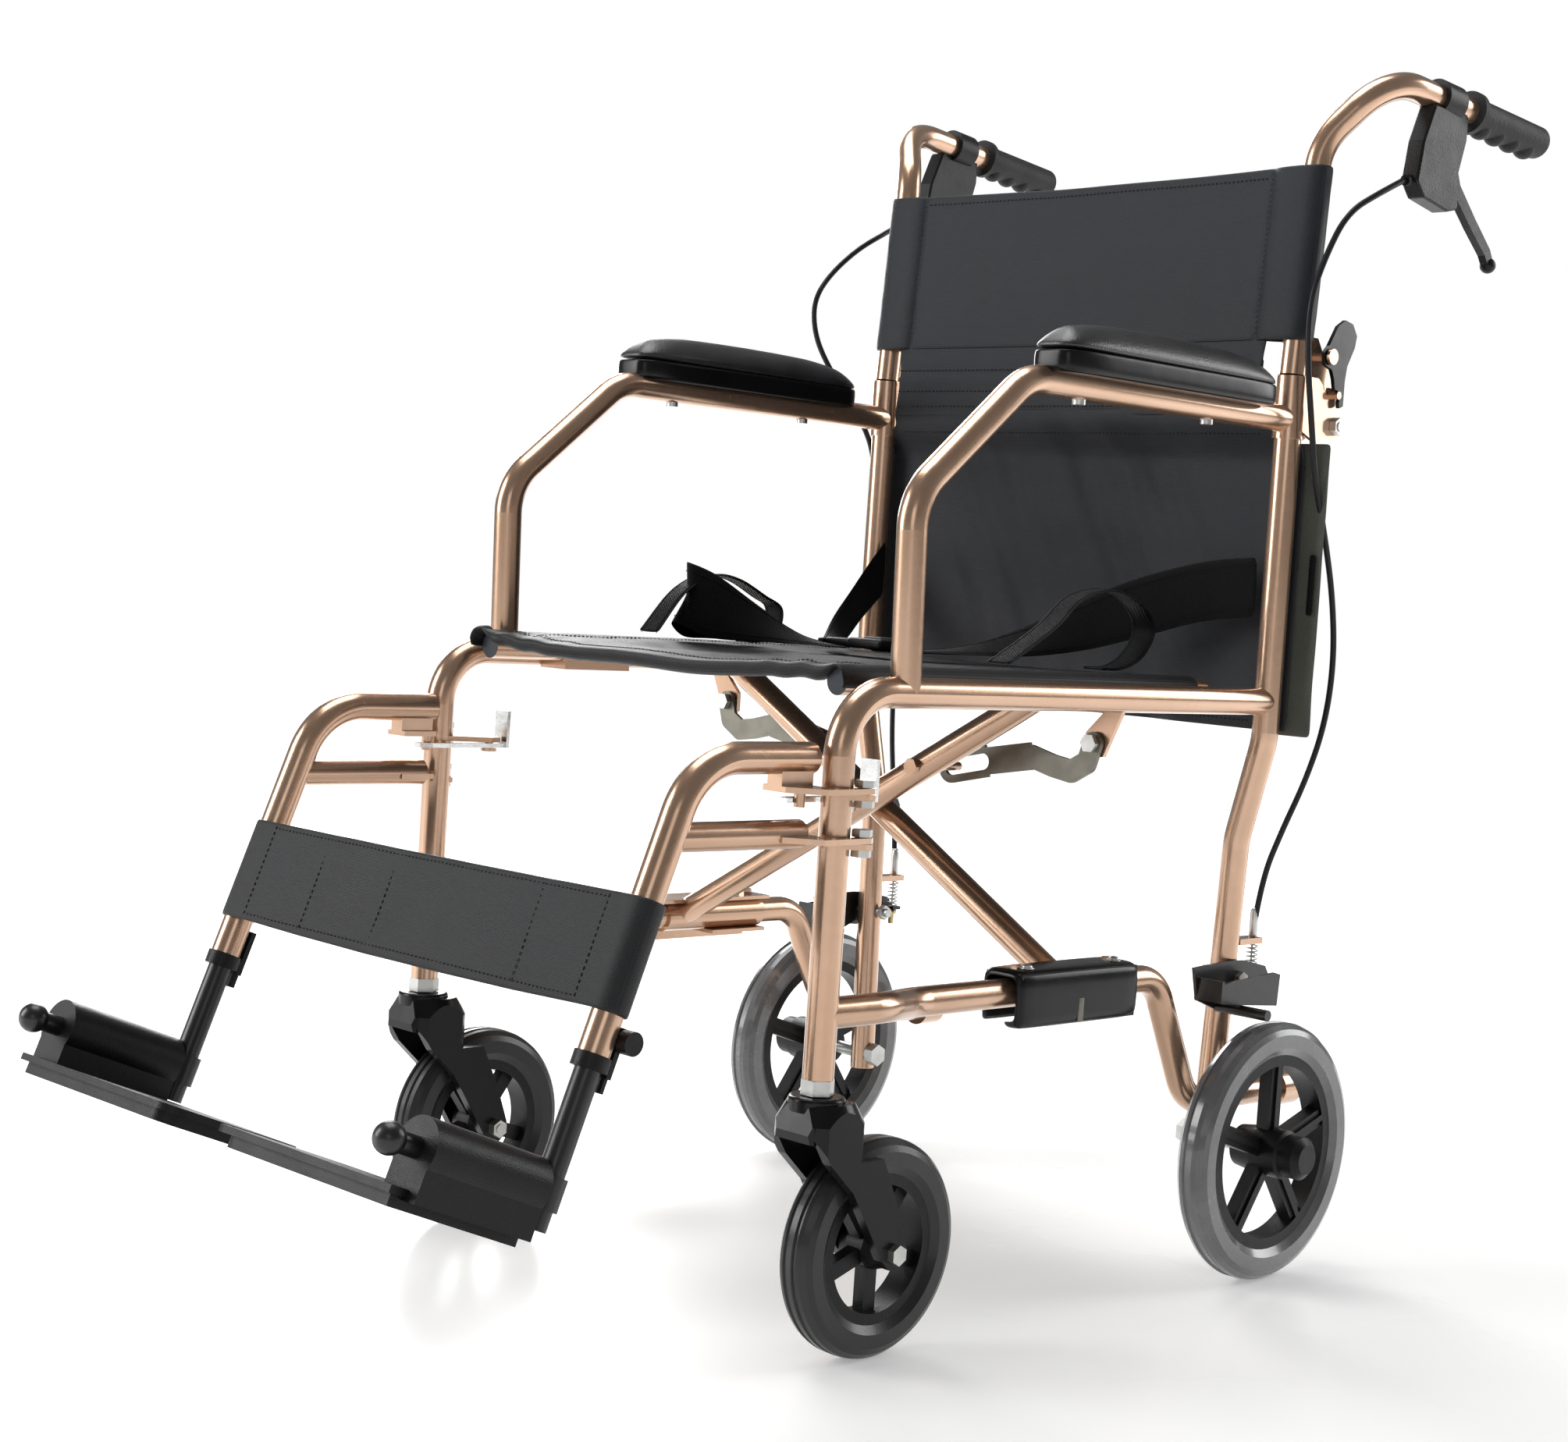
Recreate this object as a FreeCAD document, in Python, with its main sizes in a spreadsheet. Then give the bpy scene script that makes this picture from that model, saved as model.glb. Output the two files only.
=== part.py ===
import FreeCAD, Part
import math
import os

# Folding transport wheelchair, millimetres. +Z up, the chair faces -Y, +X is the occupant's left.
# Left pieces are built once and mirrored in X for the right; the cross-brace is the exception,
# because its two tubes pass one behind the other.

doc = FreeCAD.newDocument("transport_wheelchair")
sheet = doc.addObject("Spreadsheet::Sheet", "Dims")
V = FreeCAD.Vector

DRIVING = {
    # main frame
    "origin_shift": 206.0,      # the front legs stand this far ahead of the middle
    "ground_drop": 3.5,         # the floor lies this far below the leg frame's zero
    "tube_d": 22.2, "tube_wall": 1.8, "thin_tube_d": 20.0,
    "frame_half": 225.0, "post_depth": 502.0, "rail_height": 468.5, "leg_bottom": 201.0,
    "arm_height": 700.0, "arm_foot_depth": 62.0, "lower_half": 206.0, "lower_height": 243.0,
    "tail_height": 137.0, "tail_end": 602.0,
    "post_low_half": 197.0, "sleeve_d": 26.0, "sleeve_low": 684.0, "sleeve_top": 735.0,
    # wheels
    "rear_wheel_d": 212.0, "rear_wheel_half": 258.0, "rear_wheel_depth": 498.5,
    "rear_tyre_w": 28.0, "rear_seat_d": 160.0, "hub_end_half": 300.0,
    "caster_d": 158.0, "caster_trail": 62.0, "caster_tyre_w": 30.0, "caster_seat_d": 108.0,
    "fork_inner": 36.0, "fork_plate": 8.0, "run_fit": 0.08,
    # folding back
    "hinge_depth": 545.0, "hinge_height": 698.0, "handle_top": 982.0, "handle_half": 272.0,
    "grip_d": 30.0, "grip_start": 664.0, "grip_end": 774.0,
    # cross-brace and seat
    "seat_half": 195.0, "seat_tube_height": 474.0, "seat_front": 27.0, "seat_back": 446.0,
    "brace_front_plane": 262.0, "brace_rear_plane": 286.0, "brace_sleeve_d": 27.6,
    "link_plane": 300.0, "link_tab_height": 432.0, "link_pin_span": 78.0,
    # footrests
    "hanger_half": 214.0, "hanger_top": 422.0, "strut_height": 370.0,
    "pivot_half": 237.0, "pivot_depth": 15.0, "foot_tube_d": 18.0,
    # coverings
    "cloth": 3.0, "pad_half_w": 24.0, "pad_middle": 232.0, "cable_d": 5.0,
}

row = 0
for alias, value in DRIVING.items():
    row += 1
    sheet.set("A%d" % row, alias)
    sheet.set("B%d" % row, str(value))
    sheet.setAlias("B%d" % row, alias)
doc.recompute()


def dim(alias):
    return float(sheet.get(alias))


TUBE_R = dim("tube_d") / 2
WALL = dim("tube_wall")
HALF = dim("frame_half")
POST_Y = dim("post_depth")
RAIL_Z = dim("rail_height")
ARM_Z = dim("arm_height")
LOW_X = dim("lower_half")
LOW_Z = dim("lower_height")
REAR_R = dim("rear_wheel_d") / 2
REAR_Z = REAR_R - dim("ground_drop")
REAR_Y = dim("rear_wheel_depth")
REAR_X = dim("rear_wheel_half")
CAST_R = dim("caster_d") / 2
CAST_Z = CAST_R - dim("ground_drop")
CAST_Y = dim("caster_trail")
HINGE_Y = dim("hinge_depth")
HINGE_Z = dim("hinge_height")
SEAT_X = dim("seat_half")
SEAT_Z = dim("seat_tube_height")
HANG_X = dim("hanger_half")
PIVOT = V(dim("pivot_half"), dim("pivot_depth"), 0)
POST_X = HALF + 1.0
LINK_Y = dim("link_plane")
LUG_LEVELS = (dim("hanger_top") - 27.0, dim("strut_height") - 9.0)
LATCH_X, LATCH_Y = 207.0, 38.0
PIECES = []


# ---------------------------------------------------------------- document helpers

def bind(obj, path, expression):
    """Ties one property of a document object to the sheet."""
    obj.setExpression(path, expression)


def place(obj, x="0", y="0", z="0"):
    bind(obj, ".Placement.Base.x", x)
    bind(obj, ".Placement.Base.y", y)
    bind(obj, ".Placement.Base.z", z)
    return obj


def cylinder(name, radius, height, x="0", y="0", z="0", along="Z"):
    obj = doc.addObject("Part::Cylinder", name)
    bind(obj, "Radius", radius)
    bind(obj, "Height", height)
    turn = {"Z": (V(0, 0, 1), 0), "X": (V(0, 1, 0), 90), "Y": (V(1, 0, 0), -90)}[along]
    obj.Placement = FreeCAD.Placement(V(0, 0, 0), FreeCAD.Rotation(*turn))
    return place(obj, x, y, z)


def join(name, members):
    obj = doc.addObject("Part::MultiFuse", name)
    obj.Shapes = members
    return obj


def group(name, members):
    obj = doc.addObject("Part::Compound", name)
    obj.Links = members
    return obj


def shaped(name, shape):
    """A feature whose form follows a route or outline in space; its sizes come from the sheet."""
    obj = doc.addObject("Part::Feature", name)
    obj.Shape = Part.makeCompound([shape])
    return obj


def piece(obj, label):
    """Registers a finished sub-part and moves it from the leg frame to the chair's middle."""
    obj.Label = label
    bind(obj, ".Placement.Base.y", "-Dims.origin_shift")
    bind(obj, ".Placement.Base.z", "Dims.ground_drop")
    PIECES.append((label, obj))
    return obj


def mirrored(source, label):
    obj = doc.addObject("Part::Mirroring", label)
    obj.Source = source
    obj.Base = V(0, 0, 0)
    obj.Normal = V(1, 0, 0)
    obj.Label = label
    PIECES.append((label, obj))
    return obj


def both_sides(obj, name):
    left = piece(obj, "left_" + name)
    mirrored(left, "right_" + name)
    return left


# ---------------------------------------------------------------- shape helpers

def route_wire(points, radii):
    """Straight runs joined by tangent arcs. Returns the wire."""
    edges = []
    start = points[0]
    for i in range(1, len(points) - 1):
        corner = points[i]
        back = (points[i - 1] - corner).normalize()
        ahead = (points[i + 1] - corner).normalize()
        half = back.getAngle(ahead) / 2
        reach = radii[i - 1] / math.tan(half)
        enter = corner + back * reach
        leave = corner + ahead * reach
        middle_dir = (back + ahead).normalize()
        centre = corner + middle_dir * (radii[i - 1] / math.sin(half))
        middle = centre - middle_dir * radii[i - 1]
        edges.append(Part.LineSegment(start, enter).toShape())
        edges.append(Part.Arc(enter, middle, leave).toShape())
        start = leave
    edges.append(Part.LineSegment(start, points[-1]).toShape())
    return Part.Wire(edges)


def swept(points, radii, radius):
    wire = route_wire(points, radii)
    along = (points[1] - points[0]).normalize()
    ring = Part.Wire(Part.makeCircle(radius, points[0], along))
    return wire.makePipeShell([ring], True, False), wire


def bent_tube(points, radii, outer_r, wall):
    """A hollow tube along a route."""
    outer, wire = swept(points, radii, outer_r)
    inner, wire = swept(points, radii, outer_r - wall)
    return outer.cut(inner)


def rod(a, b, radius):
    return Part.makeCylinder(radius, (b - a).Length, a, b - a)


def tube_between(a, b, outer_r, wall):
    return rod(a, b, outer_r).cut(rod(a, b, outer_r - wall))


def plate_yz(outline, x_low, thickness):
    """A flat plate standing in the YZ plane; outline holds (y, z) corners."""
    points = [V(x_low, y, z) for y, z in outline]
    return Part.Face(Part.makePolygon(points + points[:1])).extrude(V(thickness, 0, 0))


def plate_xy(outline, z_low, thickness):
    points = [V(x, y, z_low) for x, y in outline]
    return Part.Face(Part.makePolygon(points + points[:1])).extrude(V(0, 0, thickness))


def plate_xz(outline, y_low, thickness):
    points = [V(x, y_low, z) for x, z in outline]
    return Part.Face(Part.makePolygon(points + points[:1])).extrude(V(0, thickness, 0))


def round_upright(shape, axis, radius):
    """Rounds the edges that run along one axis."""
    edges = []
    for edge in shape.Edges:
        if edge.Curve.TypeId != "Part::GeomLine":
            continue
        way = (edge.Vertexes[1].Point - edge.Vertexes[0].Point).normalize()
        if abs(way.dot(axis)) > 0.999:
            edges.append(edge)
    return shape.makeFillet(radius, edges)


def spin(profile, centre):
    """Turns an (offset along X, radius) outline about the X axis through a centre."""
    points = [V(centre.x + a, centre.y, centre.z + r) for a, r in profile]
    face = Part.Face(Part.makePolygon(points + points[:1]))
    return face.revolve(centre, V(1, 0, 0), 360)


def hexagon(centre, axis, across, height):
    """A hexagonal head or nut standing on centre along axis (x, y or z unit vector)."""
    corners = []
    for k in range(7):
        angle = math.radians(60 * k)
        corners.append(V(math.cos(angle), math.sin(angle), 0) * (across / math.sqrt(3)))
    solid = Part.Face(Part.makePolygon(corners)).extrude(V(0, 0, height))
    solid.Placement = FreeCAD.Placement(centre, FreeCAD.Rotation(V(0, 0, 1), axis))
    return solid


# ---------------------------------------------------------------- side frame tubes

rail_end = V(HALF, POST_Y, RAIL_Z)
front_points = [V(HALF, 0, dim("leg_bottom")), V(HALF, 0, RAIL_Z), rail_end]
front = bent_tube(front_points, [44], TUBE_R, WALL)
post_cope = rod(V(POST_X, POST_Y, 60), V(POST_X, POST_Y, 760), TUBE_R)
front = front.cut(post_cope)
# two hinge lugs for the footrest and the hanging tab that carries the fold link
lug_reach = [(HALF - 9, -6), (HALF + 9, -6), (PIVOT.x + 7.5, PIVOT.y - 3), (PIVOT.x + 7.5, PIVOT.y + 3),
             (PIVOT.x + 4, PIVOT.y + 7), (PIVOT.x - 4, PIVOT.y + 8), (HALF - 9, 10)]
latch_axis = V(LATCH_X, LATCH_Y, 0)
latch_arm = [(HALF - 9, -4), (HALF + 8, -4), (PIVOT.x + 2, PIVOT.y + 8), (LATCH_X + 2, LATCH_Y + 9),
             (LATCH_X - 7, LATCH_Y + 6), (LATCH_X - 8, LATCH_Y - 4), (LATCH_X - 4, LATCH_Y - 11)]
leg_core = rod(front_points[0], front_points[1], TUBE_R - WALL)
for lug_z in LUG_LEVELS:
    lug = plate_xy(lug_reach, lug_z, 4.0)
    if lug_z == LUG_LEVELS[0]:
        lug = lug.fuse(plate_xy(latch_arm, lug_z, 4.0))
        lug = lug.fuse(rod(latch_axis + V(0, 0, lug_z - 6.5), latch_axis + V(0, 0, lug_z + 2), 3.5))
        lug = lug.fuse(rod(latch_axis + V(0, 0, lug_z - 7.5), latch_axis + V(0, 0, lug_z - 4.9), 6.5))
    lug = lug.cut(leg_core)
    lug = lug.cut(rod(V(PIVOT.x, PIVOT.y, lug_z - 1), V(PIVOT.x, PIVOT.y, lug_z + 5), 4.1))
    front = front.fuse(lug)
tab_z = dim("link_tab_height")
tab = plate_xz([(HALF + 6, RAIL_Z - 8), (HALF - 9, RAIL_Z - 8), (LOW_X - 10, tab_z + 8),
                (LOW_X - 10, tab_z - 8), (LOW_X - 4, tab_z - 12), (LOW_X + 8, tab_z - 10)],
               LINK_Y + 4.4, 4.0)
rail_core = rod(V(HALF, 80, RAIL_Z), rail_end, TUBE_R - WALL)
tab = tab.cut(rail_core)
tab = tab.cut(rod(V(LOW_X, LINK_Y, tab_z), V(LOW_X, LINK_Y + 12, tab_z), 4.06))
front = front.fuse(tab)
# saddles that the seat tubes rest in when the chair is open
for saddle_y in (132.0, 390.0):
    cradle = Part.makeBox(32, 70, 13, V(SEAT_X - 8, saddle_y - 35, SEAT_Z - 17))
    cradle = cradle.cut(rod(V(SEAT_X, saddle_y - 40, SEAT_Z), V(SEAT_X, saddle_y + 40, SEAT_Z),
                            dim("thin_tube_d") / 2 + 0.4))
    cradle = cradle.cut(rod(V(HALF, 60, RAIL_Z), rail_end, TUBE_R - 0.5))
    front = front.fuse(cradle)
both_sides(shaped("FrontTube", front), "front_tube")

post_points = [V(POST_X, POST_Y, dim("sleeve_low")), V(POST_X, POST_Y, 436), V(LOW_X, POST_Y, 352),
               V(dim("post_low_half"), POST_Y - 2, 88)]
post = bent_tube(post_points, [60, 70], TUBE_R, WALL)
sleeve_r = dim("sleeve_d") / 2
sleeve = tube_between(V(POST_X, POST_Y, dim("sleeve_low")), V(POST_X, POST_Y, dim("sleeve_top")),
                      sleeve_r, sleeve_r - TUBE_R + 0.4)
post = post.fuse(sleeve)
cheek = [(POST_Y - 2, 735), (POST_Y - 2, 690), (POST_Y + 14, 684), (HINGE_Y - 2, HINGE_Z - 11),
         (HINGE_Y + 8, HINGE_Z - 8), (HINGE_Y + 11, HINGE_Z), (HINGE_Y + 9, HINGE_Z + 8),
         (HINGE_Y - 2, HINGE_Z + 13), (POST_Y + 22, 731), (POST_Y + 16, 735)]
for side in (-1, 1):
    low = POST_X + (12.0 if side > 0 else -15.0)
    web = plate_yz(cheek, low, 3.0)
    web = web.cut(rod(V(POST_X - 30, HINGE_Y, HINGE_Z), V(POST_X + 30, HINGE_Y, HINGE_Z), 4.1))
    post = post.fuse(web)
catch = rod(V(POST_X + 14.5, HINGE_Y - 6, HINGE_Z + 25), V(POST_X + 22, HINGE_Y - 6, HINGE_Z + 25), 3.2)
catch_foot = plate_yz([(HINGE_Y - 14, HINGE_Z + 8), (HINGE_Y + 2, HINGE_Z + 6), (HINGE_Y - 1, HINGE_Z + 30),
                       (HINGE_Y - 11, HINGE_Z + 31)], POST_X + 12.0, 3.0)
post = post.fuse(catch_foot).fuse(catch)
# cable stop on the back of the post
stop = Part.makeBox(14, 32, 5, V(LOW_X - 8, POST_Y + 8, 264))
stop = stop.cut(rod(V(LOW_X, 536, 250), V(LOW_X, 536, 280), 1.6))
stop = stop.cut(rod(post_points[2], post_points[3], TUBE_R - 0.9))
post = post.fuse(stop)
post = post.cut(rod(V(150, REAR_Y, REAR_Z), V(300, REAR_Y, REAR_Z), 6.05))
post = post.cut(rod(V(170, POST_Y, 237), V(230, POST_Y, 237), 4.05))
both_sides(shaped("RearPost", post), "rear_post")

arm_points = [V(HALF, dim("arm_foot_depth"), RAIL_Z), V(HALF, 57, 606), V(HALF, 170, ARM_Z),
              V(HALF, POST_Y, ARM_Z)]
arm = bent_tube(arm_points, [48, 48], TUBE_R, WALL)
arm = arm.cut(rod(V(HALF, 20, RAIL_Z), V(HALF, 120, RAIL_Z), TUBE_R))
arm = arm.cut(rod(V(POST_X, POST_Y, 660), V(POST_X, POST_Y, 740), sleeve_r))
arm = arm.cut(plate_yz(cheek, POST_X - 15.0, 30.0))
both_sides(shaped("ArmTube", arm), "arm_tube")

rail_points = [V(HALF, 0, LOW_Z + 3), V(HALF, 62, LOW_Z + 3), V(LOW_X, 112, LOW_Z),
               V(LOW_X, 402, LOW_Z), V(LOW_X, 456, dim("tail_height")),
               V(LOW_X, dim("tail_end"), dim("tail_height"))]
lower = bent_tube(rail_points, [70, 70, 34, 34], TUBE_R, WALL)
lower = lower.cut(rod(front_points[0], front_points[1], TUBE_R))
lower = lower.cut(rod(post_points[2], post_points[3], TUBE_R))
tip_start = V(LOW_X, dim("tail_end") - 22, dim("tail_height"))
tip = rod(tip_start, V(LOW_X, dim("tail_end") + 6, dim("tail_height")), TUBE_R + 4.6)
tip = tip.cut(rod(tip_start - V(0, 1, 0), V(LOW_X, dim("tail_end"), dim("tail_height")), TUBE_R))
tip = tip.makeFillet(4, [e for e in tip.Edges if e.BoundBox.YMin > dim("tail_end") + 5
                         and e.Curve.TypeId == "Part::GeomCircle"])
lower = Part.makeCompound([lower, tip])
both_sides(shaped("LowerRail", lower), "lower_rail")

# ---------------------------------------------------------------- arm pads

pad_x = dim("pad_middle")
pad_w = dim("pad_half_w")
base_outline = [(190, 705), (448, 706), (452, 711), (452, 724), (194, 722), (184, 712)]
base = plate_yz(base_outline, pad_x - pad_w, 2 * pad_w)
base = base.cut(rod(V(HALF, 100, ARM_Z), V(HALF, 500, ARM_Z), TUBE_R + 0.02))
base = base.cut(bent_tube(arm_points, [48, 48], TUBE_R + 0.05, TUBE_R - 1))
cushion_outline = [(185, 722.2), (194, 722.4), (452, 724.2), (455, 727), (420, 730), (350, 736),
                   (290, 740.5), (245, 742), (210, 738), (190, 729)]
cushion = plate_yz(cushion_outline, pad_x - pad_w, 2 * pad_w)
cushion = cushion.makeFillet(3.0, [e for e in cushion.Edges if e.BoundBox.ZMin > 725
                                   and e.BoundBox.XLength < 0.01])
both_sides(group("ArmPad", [shaped("PadBase", base), shaped("PadCushion", cushion)]), "arm_pad")

# ---------------------------------------------------------------- rear wheels

half_w = dim("rear_tyre_w") / 2
rear_centre = V(REAR_X, REAR_Y, REAR_Z)
seat_r = dim("rear_seat_d") / 2
tread = [(-half_w + 4, seat_r + 0.0), (half_w - 4, seat_r + 0.0), (half_w, seat_r + 6), (half_w, REAR_R - 9),
         (half_w - 2, REAR_R - 4.5), (half_w - 6, REAR_R - 1.2), (4.2, REAR_R), (3.2, REAR_R - 1.6),
         (-3.2, REAR_R - 1.6), (-4.2, REAR_R), (-half_w + 6, REAR_R - 1.2), (-half_w + 2, REAR_R - 4.5),
         (-half_w, REAR_R - 9), (-half_w, seat_r + 6)]
both_sides(shaped("RearTyre", spin(tread, rear_centre)), "rear_tyre")

hub_inner = 236.0
hub_end = dim("hub_end_half")
rim_in = seat_r - 9
rim_profile = [(-half_w + 4, rim_in), (half_w - 4, rim_in), (half_w - 4, seat_r), (-half_w + 4, seat_r)]
rim = spin(rim_profile, rear_centre)
hub_profile = [(hub_inner - REAR_X, 6.0 + dim("run_fit")), (hub_inner - REAR_X, 17),
               (-2, 20), (22, 20), (24, 17.5), (hub_end - REAR_X - 5, 17.5), (hub_end - REAR_X, 12),
               (hub_end - REAR_X, 0.01), (hub_end - REAR_X - 8, 0.01),
               (hub_end - REAR_X - 8, 6.0 + dim("run_fit"))]
hub = spin(hub_profile, rear_centre)
rim = rim.fuse(hub)
for k in range(5):
    angle = math.radians(90 + 72 * k)
    spoke = Part.makeBox(12, 15, rim_in - 16, V(-4, -7.5, 17.5))
    spoke = spoke.fuse(Part.makeBox(16, 5, rim_in - 16, V(-6, -2.5, 17.5)))
    spoke.Placement = FreeCAD.Placement(rear_centre, FreeCAD.Rotation(V(1, 0, 0), math.degrees(angle) - 90))
    rim = rim.fuse(spoke)
both_sides(shaped("RearRim", rim), "rear_rim")

# ---------------------------------------------------------------- casters

cast_centre = V(HALF, CAST_Y, CAST_Z)
cast_half = dim("caster_tyre_w") / 2
cast_seat = dim("caster_seat_d") / 2
cast_tread = [(-cast_half + 4, cast_seat), (cast_half - 4, cast_seat), (cast_half, cast_seat + 6),
              (cast_half, CAST_R - 9), (cast_half - 2, CAST_R - 4.5), (cast_half - 6, CAST_R - 1.0),
              (6, CAST_R - 0.2), (5, CAST_R - 1.6), (3, CAST_R - 1.6), (2, CAST_R),
              (-2, CAST_R), (-3, CAST_R - 1.6), (-5, CAST_R - 1.6), (-6, CAST_R - 0.2),
              (-cast_half + 6, CAST_R - 1.0),
              (-cast_half + 2, CAST_R - 4.5), (-cast_half, CAST_R - 9), (-cast_half, cast_seat + 6)]
both_sides(shaped("CasterTyre", spin(cast_tread, cast_centre)), "caster_tyre")

cast_in = cast_seat - 8
cast_rim = spin([(-cast_half + 4, cast_in), (cast_half - 4, cast_in), (cast_half - 4, cast_seat),
                 (-cast_half + 4, cast_seat)], cast_centre)
cast_rim = cast_rim.fuse(spin([(-17.5, 4.0 + dim("run_fit")), (17.5, 4.0 + dim("run_fit")), (17.5, 12),
                               (8, 15), (-8, 15), (-17.5, 12)], cast_centre))
for k in range(5):
    spoke = Part.makeBox(10, 12, cast_in - 12, V(-5, -6, 13))
    spoke.Placement = FreeCAD.Placement(cast_centre, FreeCAD.Rotation(V(1, 0, 0), 36 + 72 * k))
    cast_rim = cast_rim.fuse(spoke)
both_sides(shaped("CasterRim", cast_rim), "caster_rim")

fork_in = dim("fork_inner") / 2
fork_t = dim("fork_plate")
fork_leg = [(-17, 186), (20, 186), (34, 168), (CAST_Y + 1, 108), (CAST_Y + 12, CAST_Z + 4),
            (CAST_Y + 11, CAST_Z - 6), (CAST_Y + 5, CAST_Z - 12), (CAST_Y - 5, CAST_Z - 11),
            (CAST_Y - 12, CAST_Z - 4), (16, 124), (-8, 146), (-20, 164)]
fork = None
for side in (-1, 1):
    leg = plate_yz(fork_leg, HALF + (fork_in if side > 0 else -fork_in - fork_t), fork_t)
    leg = round_upright(leg, V(1, 0, 0), 2.5)
    fork = leg if fork is None else fork.fuse(leg)
crown = plate_yz([(-17, 186), (20, 186), (34, 168), (36, 163), (10, 156), (-21, 160), (-22, 166)],
                 HALF - fork_in - 1, 2 * fork_in + 2)
fork = fork.fuse(crown)
# the crown is rounded in plan above the wheel
crown_form = Part.makeCylinder(31, 27, V(HALF, 5, 145), V(0, 0, 1))
crown_form = crown_form.fuse(Part.makeCone(31, 23, 15, V(HALF, 5, 172), V(0, 0, 1)))
crown_top = fork.common(crown_form)
fork = fork.common(Part.makeBox(80, 160, 145, V(HALF - 40, -60, 0))).fuse(crown_top)
sweep_room = rod(cast_centre - V(fork_in - 0.1, 0, 0), cast_centre + V(fork_in - 0.1, 0, 0), CAST_R + 3)
fork = fork.cut(sweep_room)
cap = Part.makeCylinder(20, 10, V(HALF, 0, 179.5), V(0, 0, 1))
cap = cap.makeFillet(2.5, [e for e in cap.Edges if e.BoundBox.ZMin > 189])
stem = Part.makeCylinder(6, 62, V(HALF, 0, 184), V(0, 0, 1))
fork = fork.fuse(cap).fuse(stem)
fork = fork.cut(rod(cast_centre - V(60, 0, 0), cast_centre + V(60, 0, 0), 4.02))
both_sides(shaped("CasterFork", fork), "caster_fork")

axle_out = fork_in + fork_t
caster_axle = rod(cast_centre - V(axle_out + 8, 0, 0), cast_centre + V(axle_out + 1, 0, 0), 4.0)
caster_axle = caster_axle.fuse(hexagon(cast_centre + V(axle_out, 0, 0), V(1, 0, 0), 13, 5.5))
caster_axle = caster_axle.fuse(hexagon(cast_centre - V(axle_out + 7, 0, 0), V(1, 0, 0), 13, 7))
both_sides(shaped("CasterAxle", caster_axle), "caster_axle")

# ---------------------------------------------------------------- handles, grips and brakes

H_TOP = dim("handle_top")
H_X = dim("handle_half")
handle_points = [V(POST_X, POST_Y, 736.0), V(POST_X + 0.6, 515, 925.5), V(H_X - 6, 550, H_TOP + 0.5),
                 V(H_X + 4, 770, H_TOP - 16.5)]
handle = bent_tube(handle_points, [58, 58], TUBE_R, WALL)
tongue = plate_yz([(POST_Y + 3, 741), (POST_Y + 3, 768), (POST_Y + 20, 768), (POST_Y + 32, 752),
                   (HINGE_Y + 10, HINGE_Z + 20), (HINGE_Y + 11, HINGE_Z), (HINGE_Y + 8, HINGE_Z - 8),
                   (HINGE_Y, HINGE_Z - 11), (HINGE_Y - 8, HINGE_Z - 8), (HINGE_Y - 11, HINGE_Z),
                   (POST_Y + 20, HINGE_Z + 22), (POST_Y + 16, 737)], POST_X - 9, 18.0)
tongue = tongue.cut(rod(V(POST_X, POST_Y, 700), V(POST_X, POST_Y, 800), TUBE_R - WALL))
tongue = tongue.cut(rod(V(POST_X - 30, HINGE_Y, HINGE_Z), V(POST_X + 30, HINGE_Y, HINGE_Z), 4.0 + 0.08))
lock_pivot = V(POST_X, POST_Y + 22, 753)
stud = rod(lock_pivot + V(6, 0, 0), lock_pivot + V(21.5, 0, 0), 3.5)
stud_head = rod(lock_pivot + V(21.3, 0, 0), lock_pivot + V(24, 0, 0), 6.5)
handle = handle.fuse(tongue).fuse(stud).fuse(stud_head)
both_sides(shaped("HandleTube", handle), "handle_tube")

grip_axis = (handle_points[-1] - handle_points[-2]).normalize()
grip_base = handle_points[-2] + grip_axis * ((dim("grip_start") - handle_points[-2].y) / grip_axis.y)
grip_len = (dim("grip_end") - dim("grip_start")) / grip_axis.y
grip_r = dim("grip_d") / 2
grip = Part.makeCylinder(grip_r - 1.0, grip_len, grip_base, grip_axis)
grip = grip.makeFillet(4.5, [e for e in grip.Edges if e.Curve.TypeId == "Part::GeomCircle"
                             and e.CenterOfMass.y > dim("grip_end") - 5])
collar = Part.makeCylinder(grip_r + 3.0, 6.0, grip_base, grip_axis)
grip = grip.fuse(collar)
for k in range(4):
    knob = grip_base + grip_axis * (20 + 23 * k) + V(0, 0, -8.5)
    grip = grip.fuse(Part.makeSphere(10.0, knob))
grip = grip.cut(rod(grip_base - grip_axis, grip_base + grip_axis * (grip_len - 3.8), TUBE_R + 0.02))
both_sides(shaped("Grip", grip), "grip")

clamp_at = handle_points[-2] + grip_axis * ((628.0 - handle_points[-2].y) / grip_axis.y)
clamp = Part.makeCylinder(TUBE_R + 4.5, 26, clamp_at - grip_axis * 13, grip_axis)
body_z = clamp_at.z
housing_outline = [(600, body_z - 8), (652, body_z - 8), (652, body_z - 30), (642, body_z - 62),
                   (646, body_z - 88), (630, body_z - 92), (592, body_z - 86), (580, body_z - 74),
                   (586, body_z - 40)]
housing = plate_yz(housing_outline, H_X - 8, 16)
housing = round_upright(housing, V(1, 0, 0), 4.0)
housing = housing.makeFillet(2.0, [e for e in housing.Edges if e.BoundBox.XLength < 0.01])
housing = housing.fuse(clamp)
housing = housing.cut(rod(handle_points[-2] + grip_axis * 30, handle_points[-1], TUBE_R + 0.02))
lever_pivot = V(H_X, 640, body_z - 55)
slot = Part.makeBox(8, 40, 34, V(H_X - 4, 630, body_z - 76))
housing = housing.cut(slot)
nozzle = rod(V(H_X, 586, body_z - 72), V(H_X, 574, body_z - 74), 4.5)
housing = housing.fuse(nozzle)
pivot_pin = rod(lever_pivot - V(7, 0, 0), lever_pivot + V(7, 0, 0), 2.5)
housing = housing.fuse(pivot_pin)
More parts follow.
